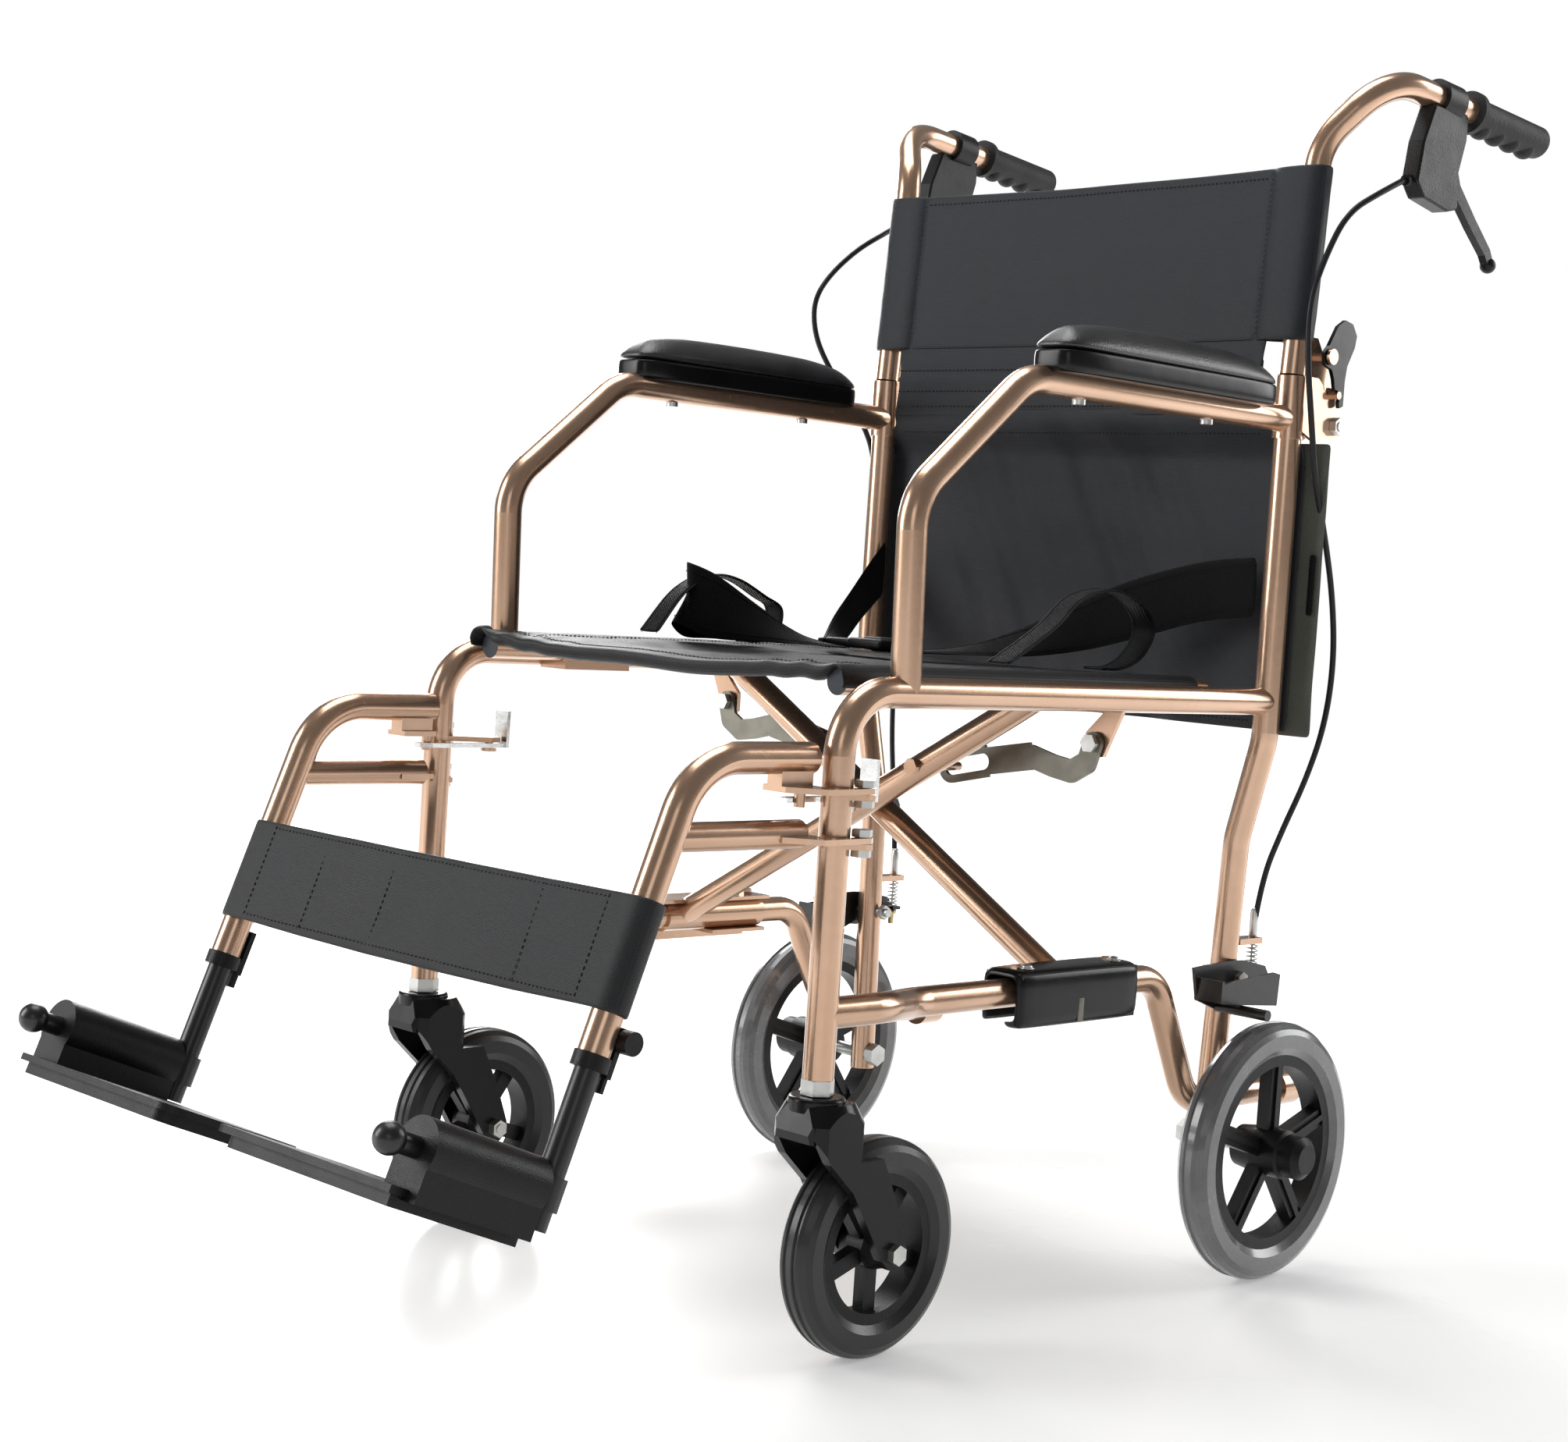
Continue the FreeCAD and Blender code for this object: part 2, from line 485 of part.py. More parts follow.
both_sides(shaped("BrakeHousing", housing), "brake_housing")

lever_profile = [(634, body_z - 52), (640, body_z - 48), (647, body_z - 52), (654, body_z - 66),
                 (682, body_z - 90), (710, body_z - 112), (718, body_z - 124), (710, body_z - 128),
                 (702, body_z - 118), (676, body_z - 99), (650, body_z - 78), (636, body_z - 62)]
lever = plate_yz(lever_profile, H_X - 3.5, 7.0)
lever = lever.fuse(Part.makeSphere(6.8, V(H_X, 714, body_z - 125)))
lever = lever.cut(rod(lever_pivot - V(10, 0, 0), lever_pivot + V(10, 0, 0), 2.55))
both_sides(shaped("BrakeLever", lever), "brake_lever")

lock_x = POST_X + 17.0
lock = plate_yz([(POST_Y + 14, 756), (POST_Y + 16, 746), (POST_Y + 26, 743), (POST_Y + 30, 736),
                 (HINGE_Y - 10.5, HINGE_Z + 29.5), (HINGE_Y - 6, HINGE_Z + 29), (HINGE_Y - 2, HINGE_Z + 25),
                 (HINGE_Y - 3.5, HINGE_Z + 19), (HINGE_Y - 2, HINGE_Z + 15), (HINGE_Y + 3, HINGE_Z + 17),
                 (HINGE_Y + 3, HINGE_Z + 38), (HINGE_Y + 5, 748), (HINGE_Y + 14, 764), (HINGE_Y + 16, 774),
                 (HINGE_Y + 9, 783), (HINGE_Y - 2, 785), (HINGE_Y - 12, 779), (POST_Y + 20, 762)],
                lock_x, 3.4)
lock = lock.cut(rod(V(lock_x - 1, HINGE_Y - 6, HINGE_Z + 25), V(lock_x + 5, HINGE_Y - 6, HINGE_Z + 25), 3.6))
lock = lock.cut(rod(V(lock_x - 1, lock_pivot.y, 753), V(lock_x + 5, lock_pivot.y, 753), 3.56))
both_sides(shaped("BackLock", lock), "back_lock")

# ---------------------------------------------------------------- brake cables

cable_points = [V(H_X, 573, body_z - 74), V(270, 543, 888), V(259, 514, 868), V(250, 501, 832),
                V(247, 487, 792), V(249, 489, 742), V(251, 497, 700), V(250, 509, 655), V(250, 532, 604),
                V(249, 551, 556), V(249, 560, 505), V(245, 560, 452), V(236, 552, 405), V(222, 543, 360),
                V(210, 537, 318), V(LOW_X, 536, 274)]


def cable_radii(points):
    radii = []
    for i in range(1, len(points) - 1):
        back = points[i] - points[i - 1]
        ahead = points[i + 1] - points[i]
        turn = back.getAngle(ahead)
        radii.append(0.45 * min(back.Length, ahead.Length) / math.tan(turn / 2))
    return radii


# the right cable bows out ahead of the post before it joins the same lower path
cable_right = [V(H_X, 573, body_z - 74), V(260, 520, 878), V(275, 500, 861), V(285, 475, 834),
               V(285, 457, 809), V(285, 458, 784), V(278, 464, 758), V(262, 486, 718), V(252, 511, 684),
               V(249, 519, 645)] + cable_points[8:]


def brake_cable(name, points, side):
    """A cable bent along its route, with the ferrule that seats it in the stop on the post."""
    points = [V(side * p.x, p.y, p.z) for p in points]
    radii = cable_radii(points)
    cable, wire = swept(points, radii, dim("cable_d") / 2)
    expected = math.pi * (dim("cable_d") / 2) ** 2 * wire.Length
    print("cable radii", ", ".join("%.0f" % r for r in radii))
    print("cable length %.1f, volume %.0f against %.0f" % (wire.Length, cable.Volume, expected))
    ferrule = rod(V(side * LOW_X, 536, 269.2), V(side * LOW_X, 536, 292), 3.6)
    return shaped(name, cable.fuse(ferrule))


piece(brake_cable("BrakeCableLeft", cable_points, 1), "left_brake_cable")
piece(brake_cable("BrakeCableRight", cable_right, -1), "right_brake_cable")

# ---------------------------------------------------------------- wheel brake arms

arm_x = dim("post_low_half") + 18.0
brake_outline = [(440, 250), (447, 223), (470, 215), (500, 227), (540, 228), (546, 238), (540, 246),
                 (512, 252), (492, 253), (470, 252)]
brake_arm = plate_yz(brake_outline, arm_x, 3.0)
brake_arm = brake_arm.cut(rod(V(arm_x - 1, POST_Y, 237), V(arm_x + 4, POST_Y, 237), 4.06))
ear = Part.makeBox(arm_x + 3 - (LOW_X - 6), 10, 3, V(LOW_X - 6, 532, 236))
ear = ear.cut(rod(V(LOW_X, 536, 230), V(LOW_X, 536, 245), 1.6))
shoe = rod(V(arm_x, 478, 216), V(REAR_X + 8, 478, 216), 4.5)
guard = plate_yz([(448, 239), (450, 223), (526, 217), (528, 243), (520, 245), (460, 241)], arm_x + 24, 2.5)
bridge = Part.makeBox(27, 3, 18, V(arm_x, 446, 224))
brake_arm = brake_arm.fuse(ear).fuse(shoe).fuse(guard).fuse(bridge)
both_sides(shaped("BrakeArm", brake_arm), "brake_arm")

# ---------------------------------------------------------------- footrests

hang_points = [V(HANG_X, -17, dim("hanger_top")), V(HANG_X, -123, dim("hanger_top")), V(HANG_X, -196.2, 233)]
hanger = bent_tube(hang_points, [55], TUBE_R, WALL)
strut = tube_between(V(HANG_X, -24, dim("strut_height")), V(HANG_X, -142, dim("strut_height")), 10, 1.6)
strut = strut.cut(swept(hang_points, [55], TUBE_R - 0.2)[0])
hanger = hanger.fuse(strut)
hook = [(HANG_X - 11, -50), (HANG_X + 11, -50), (PIVOT.x + 9, -30), (PIVOT.x + 9, -16),
        (PIVOT.x + 7.5, PIVOT.y + 2), (PIVOT.x + 4.5, PIVOT.y + 6.4), (PIVOT.x - 3, PIVOT.y + 7),
        (PIVOT.x - 7.2, PIVOT.y + 3), (PIVOT.x - 7, PIVOT.y - 2), (PIVOT.x + 0.4, PIVOT.y - 7.5),
        (PIVOT.x + 0.4, -16), (HANG_X - 4, -16.5), (HANG_X - 11, -19)]
for lug_z, top in ((LUG_LEVELS[0], dim("hanger_top")), (LUG_LEVELS[1], dim("strut_height"))):
    hook_z = lug_z + 4.4
    plate = plate_xy(hook, hook_z, 4.0)
    plate = plate.cut(rod(V(PIVOT.x, PIVOT.y, hook_z - 1), V(PIVOT.x, PIVOT.y, hook_z + 5), 4.06))
    riser = Part.makeBox(14, 30, top - hook_z - 3, V(HANG_X - 7, -50, hook_z + 1))
    riser = riser.cut(rod(V(HANG_X, -120, dim("hanger_top")), V(HANG_X, 0, dim("hanger_top")), TUBE_R - 0.2))
    hanger = hanger.fuse(plate).fuse(riser)
plug = Part.makeCylinder(TUBE_R - WALL, 6, V(HANG_X, -23, dim("hanger_top")), V(0, 1, 0))
catch_pin = rod(V(HANG_X - 3, -22, LUG_LEVELS[0] - 7), V(HANG_X - 3, -22, LUG_LEVELS[0] + 5), 4.0)
hanger = hanger.fuse(plug).fuse(catch_pin)
both_sides(shaped("Hanger", hanger), "hanger")

foot_dir = (hang_points[2] - hang_points[1]).normalize()
clamp_top = hang_points[2] + foot_dir * 0.3
foot_clamp = Part.makeCylinder(12.6, 10, clamp_top, foot_dir)
# a bolted strip up the back of the hanger carries the tightening knob
strip = Part.makeBox(13, 4, 34, V(-6.5, TUBE_R + 0.5, -12))
strip = strip.fuse(Part.makeBox(13, TUBE_R, 8, V(-6.5, 4, -10)))
strip = strip.fuse(rod(V(0, TUBE_R + 4, 14), V(16, TUBE_R + 4, 14), 4.0))
strip = strip.fuse(rod(V(8, TUBE_R + 4, 14), V(17, TUBE_R + 4, 14), 8.0))
strip = strip.fuse(Part.makeBox(9, 3, 16, V(-4.5, TUBE_R + 1, -22)))
strip.Placement = FreeCAD.Placement(clamp_top, FreeCAD.Rotation(V(0, 0, -1), foot_dir))
foot_clamp = foot_clamp.fuse(strip)
foot_bore = dim("foot_tube_d") / 2 + 0.35
foot_clamp = foot_clamp.cut(rod(clamp_top - foot_dir, clamp_top + foot_dir * 30, foot_bore))
foot_clamp = foot_clamp.cut(rod(clamp_top - foot_dir * 40, clamp_top, TUBE_R + 0.1))
both_sides(shaped("FootClamp", foot_clamp), "foot_clamp")

# the latch hooks a notch behind the hanger's catch pin
latch = plate_xy([(LATCH_X - 6, 44), (LATCH_X + 6, 44), (LATCH_X + 6, 33), (LATCH_X + 0.5, 22),
                  (LATCH_X - 1, -17), (LATCH_X - 0.7, -26), (LATCH_X + 5, -29.5), (LATCH_X + 4, -34),
                  (LATCH_X - 4, -34),
                  (LATCH_X - 7, -24), (LATCH_X - 7, 22), (LATCH_X - 8, 33)], LUG_LEVELS[0] - 4.4, 3.6)
latch = latch.fuse(Part.makeBox(12, 9, 3.6, V(LATCH_X - 6, 43, LUG_LEVELS[0] - 4.4)))
latch = latch.fuse(Part.makeBox(16, 3, 30, V(LATCH_X - 8, 49.5, LUG_LEVELS[0] - 4.4)))
latch = latch.cut(rod(V(LATCH_X, LATCH_Y, LUG_LEVELS[0] - 6), V(LATCH_X, LATCH_Y, LUG_LEVELS[0]), 3.57))
both_sides(shaped("HangerLatch", latch), "hanger_latch")

foot_top = clamp_top - foot_dir * 70
foot_end = clamp_top + foot_dir * 115.4
foot_tube = tube_between(foot_top, foot_end, dim("foot_tube_d") / 2, 1.6)
ahead = V(0, foot_dir.z, -foot_dir.y)
bar_start = clamp_top + foot_dir * 91
pivot_bar = rod(bar_start + ahead * 2, bar_start + ahead * 128, 7.0)
bar_knob = Part.makeSphere(10.5, bar_start + ahead * 132)
foot_collar = rod(clamp_top + foot_dir * 80, clamp_top + foot_dir * 102, 11.6)
foot_collar = foot_collar.cut(rod(foot_top, foot_end, dim("foot_tube_d") / 2 - 1.6))
pivot_bar = pivot_bar.cut(rod(foot_top, foot_end, dim("foot_tube_d") / 2 - 1.6))
foot_tube = foot_tube.fuse(foot_collar).fuse(pivot_bar)
foot_tube = foot_tube.fuse(bar_knob)
both_sides(shaped("FootTube", foot_tube), "foot_tube")

# footplate in its own flat frame: u runs forward along the pivot bar, v outboard, w up
plate_len = 118.0
plate_reach = 196.0
sleeve_from = 13.0
sleeve_len = 98.0
sleeve_ring = Part.makeCylinder(20, sleeve_len, V(sleeve_from, 0, 0), V(1, 0, 0))
deck_low = -38.0
deck = Part.makeBox(plate_len, plate_reach, 5, V(sleeve_from - 6, 8 - plate_reach, deck_low + 8))
deck = deck.makeFillet(16, [e for e in deck.Edges if e.BoundBox.ZLength > 4 and e.BoundBox.XLength < 0.1
                            and e.BoundBox.YMax < -150])
# the rear corner is notched, so the foot tube's end stands clear of the deck
deck = deck.cut(Part.makeBox(7, 24, 12, V(sleeve_from - 7, -13, deck_low + 4)))
skirt = Part.makeBox(plate_len - 10, plate_reach - 14, 10, V(sleeve_from - 1, 18 - plate_reach, deck_low))
skirt = skirt.makeFillet(14, [e for e in skirt.Edges if e.BoundBox.ZLength > 9 and e.BoundBox.YMax < -150])
skirt_hollow = Part.makeBox(plate_len - 20, plate_reach - 24, 10,
                            V(sleeve_from + 4, 23 - plate_reach, deck_low - 2))
skirt = skirt.cut(skirt_hollow)
for k in range(1, 6):
    skirt = skirt.fuse(Part.makeBox(plate_len - 18, 3, 8, V(sleeve_from + 3, -30.0 * k, deck_low)))
wall = Part.makeBox(sleeve_len, 34, 34, V(sleeve_from, -17, deck_low + 6))
footplate = deck.fuse(skirt).fuse(wall).fuse(sleeve_ring)
footplate = footplate.cut(Part.makeCylinder(7.08, 300, V(-50, 0, 0), V(1, 0, 0)))
footplate = footplate.removeSplitter()
frame_matrix = FreeCAD.Matrix(ahead.x, 1, -foot_dir.x, bar_start.x,
                              ahead.y, 0, -foot_dir.y, bar_start.y,
                              ahead.z, 0, -foot_dir.z, bar_start.z,
                              0, 0, 0, 1)
footplate.Placement = FreeCAD.Placement(frame_matrix)
both_sides(shaped("Footplate", footplate), "footplate")

# ---------------------------------------------------------------- cross-brace

brace_run = LOW_X + SEAT_X
brace_rise = SEAT_Z - LOW_Z
brace_angle = math.atan2(brace_rise, brace_run)
centre = V(0, 0, LOW_Z + LOW_X * math.tan(brace_angle))
unit_up = V(math.cos(brace_angle), 0, math.sin(brace_angle))


def cross_tube(side, plane):
    """Lower end on the rail of one side (side is +1 left or -1 right), upper end on the other."""
    low = V(side * LOW_X, plane, LOW_Z)
    high = V(-side * SEAT_X, plane, SEAT_Z)
    solid = tube_between(low, high, TUBE_R, WALL)
    ring_r = dim("brace_sleeve_d") / 2
    ring = rod(V(low.x, 238, LOW_Z), V(low.x, 352, LOW_Z), ring_r)
    solid = solid.cut(rod(V(low.x, 200, LOW_Z), V(low.x, 400, LOW_Z), ring_r - 0.2))
    foot = Part.makeBox(34, 140, 3, V(low.x - 17, 214, LOW_Z + ring_r - 1.0))
    apron = Part.makeBox(3, 140, 40, V(low.x + side * 17 - 1.5, 214, LOW_Z - 24))
    lip = Part.makeBox(34, 64, 3, V(low.x - 17, 286, LOW_Z - ring_r - 2.0))
    solid = solid.fuse(ring).fuse(foot).fuse(apron).fuse(lip)
    for bolt_y in (230.0, 340.0):
        solid = solid.fuse(hexagon(V(low.x, bolt_y, LOW_Z + ring_r + 1.5), V(0, 0, 1), 10, 5))
    solid = solid.cut(rod(V(low.x, 200, LOW_Z), V(low.x, 400, LOW_Z), TUBE_R + 0.08))
    seat_r_out = dim("thin_tube_d") / 2
    solid = solid.cut(rod(V(high.x, 200, SEAT_Z), V(high.x, 400, SEAT_Z), seat_r_out + 0.02))
    bore = rod(V(0, plane - 20, centre.z), V(0, plane + 20, centre.z), 4.06)
    solid = solid.cut(bore)
    pin_at = V(-side * unit_up.x, 0, unit_up.z) * dim("link_pin_span") + V(0, 0, centre.z)
    pin = rod(V(pin_at.x, plane - TUBE_R - 1, pin_at.z), V(pin_at.x, LINK_Y + 5, pin_at.z), 3.5)
    head = hexagon(V(pin_at.x, plane - TUBE_R - 5, pin_at.z), V(0, 1, 0), 12, 5)
    return solid.fuse(pin).fuse(head)


piece(shaped("CrossTubeLeft", cross_tube(1, dim("brace_rear_plane"))), "left_cross_tube")
piece(shaped("CrossTubeRight", cross_tube(-1, dim("brace_front_plane"))), "right_cross_tube")

bolt = cylinder("BraceBolt", "4", "Dims.brace_rear_plane - Dims.brace_front_plane + Dims.tube_d + 14",
                "0", "Dims.brace_front_plane - Dims.tube_d / 2 - 7", "%.4f" % centre.z, "Y")
head_at = V(0, dim("brace_front_plane") - TUBE_R - 7, centre.z)
nut_at = V(0, dim("brace_rear_plane") + TUBE_R + 1, centre.z)
bolt_head = shaped("BraceBoltHead", hexagon(head_at, V(0, 1, 0), 13, 6))
bolt_nut = shaped("BraceBoltNut", hexagon(nut_at, V(0, 1, 0), 13, 6))
piece(join("CrossBolt", [bolt, bolt_head, bolt_nut]), "cross_bolt")

seat_from = V(SEAT_X, dim("seat_front"), SEAT_Z)
seat_to = V(SEAT_X, dim("seat_back"), SEAT_Z)
seat_tube = shaped("SeatTubeRod", tube_between(seat_from, seat_to, dim("thin_tube_d") / 2, 1.6))
caps = [cylinder("SeatCapFront", "Dims.thin_tube_d / 2", "3", "Dims.seat_half", "Dims.seat_front - 3",
                 "Dims.seat_tube_height", "Y"),
        cylinder("SeatCapBack", "Dims.thin_tube_d / 2", "3", "Dims.seat_half", "Dims.seat_back",
                 "Dims.seat_tube_height", "Y")]
both_sides(join("SeatTube", [seat_tube] + caps), "seat_tube")

# fold link: a curved flat arm from the rail tab, with a slot that rides the pin on the cross tube
link_pivot = V(LOW_X, LINK_Y, tab_z)
pin_now = V(unit_up.x * dim("link_pin_span"), 0, centre.z + unit_up.z * dim("link_pin_span"))
reach = math.hypot(link_pivot.x - pin_now.x, link_pivot.z - pin_now.z)
link_tilt = math.degrees(math.atan2(link_pivot.z - pin_now.z, link_pivot.x - pin_now.x))
slot_near = 112.0
slot_far = reach + 4.0
link_half = 13.0
arm_line = [V(0, 0, 0), V(-8, 0, -14), V(-24, 0, -19), V(-42, 0, -12), V(-62, 0, -2), V(-108, 0, 0),
            V(-slot_far, 0, 0)]
band = []
for a, b in zip(arm_line[:-1], arm_line[1:]):
    along = (b - a).normalize()
    width = 9.0 if b.x > -90 else (11.0 if b.x > -110 else link_half)
    band.append(Part.makeBox((b - a).Length, 3.2, 2 * width, V(0, 0, -width)))
    turn = math.degrees(math.atan2(-along.z, along.x))
    band[-1].Placement = FreeCAD.Placement(a, FreeCAD.Rotation(V(0, 1, 0), turn))
    band.append(Part.makeCylinder(width, 3.2, b, V(0, 1, 0)))
band.append(Part.makeCylinder(9.0, 3.2, V(0, 0, 0), V(0, 1, 0)))
link = band[0].multiFuse(band[1:])
slot_half = 6.6
link = link.cut(Part.makeBox(slot_far - slot_near, 6, 2 * slot_half, V(-slot_far, -1, -slot_half)))
link = link.cut(Part.makeCylinder(slot_half, 6, V(-slot_far, -1, 0), V(0, 1, 0)))
link = link.cut(Part.makeCylinder(slot_half, 6, V(-slot_near, -1, 0), V(0, 1, 0)))
link = link.cut(Part.makeCylinder(4.06, 6, V(0, -1, 0), V(0, 1, 0)))
link = link.removeSplitter()
link.Placement = FreeCAD.Placement(link_pivot, FreeCAD.Rotation(V(0, 1, 0), -link_tilt))
both_sides(shaped("FoldLink", link), "fold_link")

# ---------------------------------------------------------------- fixed fasteners of each side

nut_stem = hexagon(V(HALF, 0, 190.2), V(0, 0, 1), 21, 10.6).cut(rod(V(HALF, 0, 180), V(HALF, 0, 210), 6.3))
rear_axle = rod(V(dim("post_low_half") - 20, REAR_Y, REAR_Z), V(hub_end - 9, REAR_Y, REAR_Z), 6.0)
rear_axle = rear_axle.fuse(hexagon(V(dim("post_low_half") - 21, REAR_Y, REAR_Z), V(1, 0, 0), 18, 9))
hinge_pin = rod(V(POST_X - 18, HINGE_Y, HINGE_Z), V(POST_X + 22, HINGE_Y, HINGE_Z), 4.0)
hinge_pin = hinge_pin.fuse(hexagon(V(POST_X + 15.2, HINGE_Y, HINGE_Z), V(1, 0, 0), 13, 6))
hinge_pin = hinge_pin.fuse(hexagon(V(POST_X - 20, HINGE_Y, HINGE_Z), V(1, 0, 0), 13, 4.8))
brake_bolt = rod(V(178, POST_Y, 237), V(arm_x + 6, POST_Y, 237), 4.0)
brake_bolt = brake_bolt.fuse(hexagon(V(arm_x + 3.2, POST_Y, 237), V(1, 0, 0), 12, 5))
brake_bolt = brake_bolt.fuse(hexagon(V(182, POST_Y, 237), V(1, 0, 0), 12, 5))
link_bolt = rod(V(LOW_X, LINK_Y - 2, tab_z), V(LOW_X, LINK_Y + 12, tab_z), 4.0)
link_bolt = link_bolt.fuse(hexagon(V(LOW_X, LINK_Y - 5.6, tab_z), V(0, 1, 0), 13, 5.2))
fasteners = [nut_stem, rear_axle, hinge_pin, brake_bolt, link_bolt]
for lug_z in LUG_LEVELS:
    pivot_bolt = rod(V(PIVOT.x, PIVOT.y, lug_z - 5), V(PIVOT.x, PIVOT.y, lug_z + 13), 4.0)
    pivot_bolt = pivot_bolt.fuse(hexagon(V(PIVOT.x, PIVOT.y, lug_z + 8.8), V(0, 0, 1), 13, 5))
    pivot_bolt = pivot_bolt.fuse(hexagon(V(PIVOT.x, PIVOT.y, lug_z - 5.2), V(0, 0, 1), 13, 5))
    fasteners.append(pivot_bolt)
arm_skin = rod(V(HALF, 180, ARM_Z), V(HALF, 450, ARM_Z), TUBE_R + 0.02)
for screw_y in (231.0, 391.0):
    screw = Part.makeCylinder(5.0, 4.0, V(HALF, screw_y, ARM_Z - TUBE_R - 3.0), V(0, 0, 1))
    fasteners.append(screw.cut(arm_skin))
both_sides(shaped("FrameBolts", Part.makeCompound(fasteners)), "frame_bolts")

# ---------------------------------------------------------------- coverings

cloth = dim("cloth")
seat = Part.makeBox(2 * (SEAT_X + 11), dim("seat_back") - 14 - dim("seat_front"), cloth,
                    V(-SEAT_X - 11, dim("seat_front") - 6, SEAT_Z + dim("thin_tube_d") / 2 + 0.3))
for side in (-1, 1):
    hem = Part.makeBox(1.4, dim("seat_back") - 14 - dim("seat_front"), 14,
                       V(side * (SEAT_X + 10.9) - 0.7, dim("seat_front") - 6, SEAT_Z - 2))
    seat = seat.fuse(hem)
piece(shaped("SeatSling", seat), "seat_sling")

belt_z = SEAT_Z + dim("thin_tube_d") / 2 + 0.6 + cloth
straps = [Part.makeBox(150, 40, 4, V(40, 360, belt_z)), Part.makeBox(150, 40, 4, V(-190, 330, belt_z)),
          Part.makeBox(60, 46, 10, V(-30, 325, belt_z))]
for side in (-1, 1):
    loop = [(254, belt_z), (343, belt_z + 58), (406, belt_z), (403, belt_z), (343, belt_z + 54),
            (258, belt_z)]
    straps.append(plate_yz(loop, side * 150 - 12, 24))
piece(shaped("SeatStraps", Part.makeCompound(straps)), "seat_straps")

lean = 12.0 / 172.0
upper_outline = [(498, 702), (498, 742), (498 + lean * 168, 908), (501 + lean * 168, 908), (501, 742),
                 (501, 702)]
upper = plate_yz(upper_outline, -POST_X + 16, 2 * POST_X - 32)
for side in (-1, 1):
    wrap_low = V(side * (POST_X + 0.11), 504.26, 769)
    wrap_high = V(side * (POST_X + 0.53), 513.46, 903)
    wrap = tube_between(wrap_low, wrap_high, TUBE_R + 2.2, 1.7)
    flap = plate_yz([(499.9, 769), (508.9, 897), (511.9, 897), (502.9, 769)], side * (POST_X - 14.5) - 3, 6)
    upper = upper.fuse(wrap).fuse(flap)
piece(shaped("BackUpper", upper), "back_upper")

lower_panel = Part.makeBox(2 * (POST_X + 10), cloth, 238, V(-POST_X - 10, POST_Y + TUBE_R + 0.6, 444))
top_band = plate_yz([(POST_Y + TUBE_R + 0.6, 681), (504, 702), (507, 702), (POST_Y + TUBE_R + 3.6, 681)],
                    -POST_X + 18, 2 * POST_X - 36)
piece(shaped("BackLower", lower_panel.fuse(top_band)), "back_lower")

slope = foot_dir
strap_low = hang_points[2] - slope * 27
strap_top = strap_low - slope * 77
calf = Part.makeBox(2 * HANG_X - 24, cloth, (strap_low - strap_top).Length, V(-HANG_X + 12, 0, 0))
calf.Placement = FreeCAD.Placement(V(0, strap_low.y, strap_low.z), FreeCAD.Rotation(V(0, 0, 1), slope * -1))
for side in (-1, 1):
    a = V(side * HANG_X, strap_top.y, strap_top.z)
    b = V(side * HANG_X, strap_low.y, strap_low.z)
    calf = calf.fuse(tube_between(a, b, TUBE_R + 2.2, 1.7))
piece(shaped("CalfStrap", calf), "calf_strap")

# ---------------------------------------------------------------- checks and export

doc.recompute()
os.makedirs("parts", exist_ok=True)
low = V(1e9, 1e9, 1e9)
high = V(-1e9, -1e9, -1e9)
for label, obj in PIECES:
    state = ",".join(obj.State)
    shape = obj.Shape
    if "Invalid" in state or "Error" in state or shape.isNull() or not shape.isValid():
        raise RuntimeError("bad piece %s (%s)" % (label, state))
    shape.exportStep("parts/%s.step" % label)
    box = shape.BoundBox
    low = V(min(low.x, box.XMin), min(low.y, box.YMin), min(low.z, box.ZMin))
    high = V(max(high.x, box.XMax), max(high.y, box.YMax), max(high.z, box.ZMax))
    print("%-22s solids %d volume %9.0f" % (label, len(shape.Solids), shape.Volume))
print("pieces %d" % len(PIECES))
print("bounds", low, high)
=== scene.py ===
import math
import random

import bmesh
import bpy
from mathutils import Matrix, Vector, noise


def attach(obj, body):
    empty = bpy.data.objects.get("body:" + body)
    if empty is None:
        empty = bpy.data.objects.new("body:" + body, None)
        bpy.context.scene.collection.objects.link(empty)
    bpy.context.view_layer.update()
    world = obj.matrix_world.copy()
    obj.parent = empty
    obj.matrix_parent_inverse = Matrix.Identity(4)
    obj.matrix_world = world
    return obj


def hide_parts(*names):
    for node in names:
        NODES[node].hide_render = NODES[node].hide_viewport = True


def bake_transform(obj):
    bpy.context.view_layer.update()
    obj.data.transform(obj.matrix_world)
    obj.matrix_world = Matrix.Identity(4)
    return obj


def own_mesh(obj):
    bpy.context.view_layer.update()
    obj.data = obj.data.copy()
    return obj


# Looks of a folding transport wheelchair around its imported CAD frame. Metres; +Z up, the chair faces -Y,
# +X is the occupant's left. Sizes in the tables below are millimetres in the side frame's own measure:
# y counts back from the front legs and z from the frame's zero, and at() turns them into the row frame.

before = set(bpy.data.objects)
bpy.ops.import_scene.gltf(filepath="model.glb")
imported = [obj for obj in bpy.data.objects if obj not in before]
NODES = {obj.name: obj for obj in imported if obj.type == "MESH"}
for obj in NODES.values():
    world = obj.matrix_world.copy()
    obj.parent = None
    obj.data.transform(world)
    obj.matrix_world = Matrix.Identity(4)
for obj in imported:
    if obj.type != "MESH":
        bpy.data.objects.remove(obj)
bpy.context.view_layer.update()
random.seed(7)

LEG_BACK = -206.0      # the front legs stand this far ahead of the row's origin
GROUND = 3.5           # the frame's zero stands this far above the floor
MM = 0.001


def at(x, y, z):
    return Vector((x * MM, (y + LEG_BACK) * MM, (z + GROUND) * MM))


# ---------------------------------------------------------------- camera

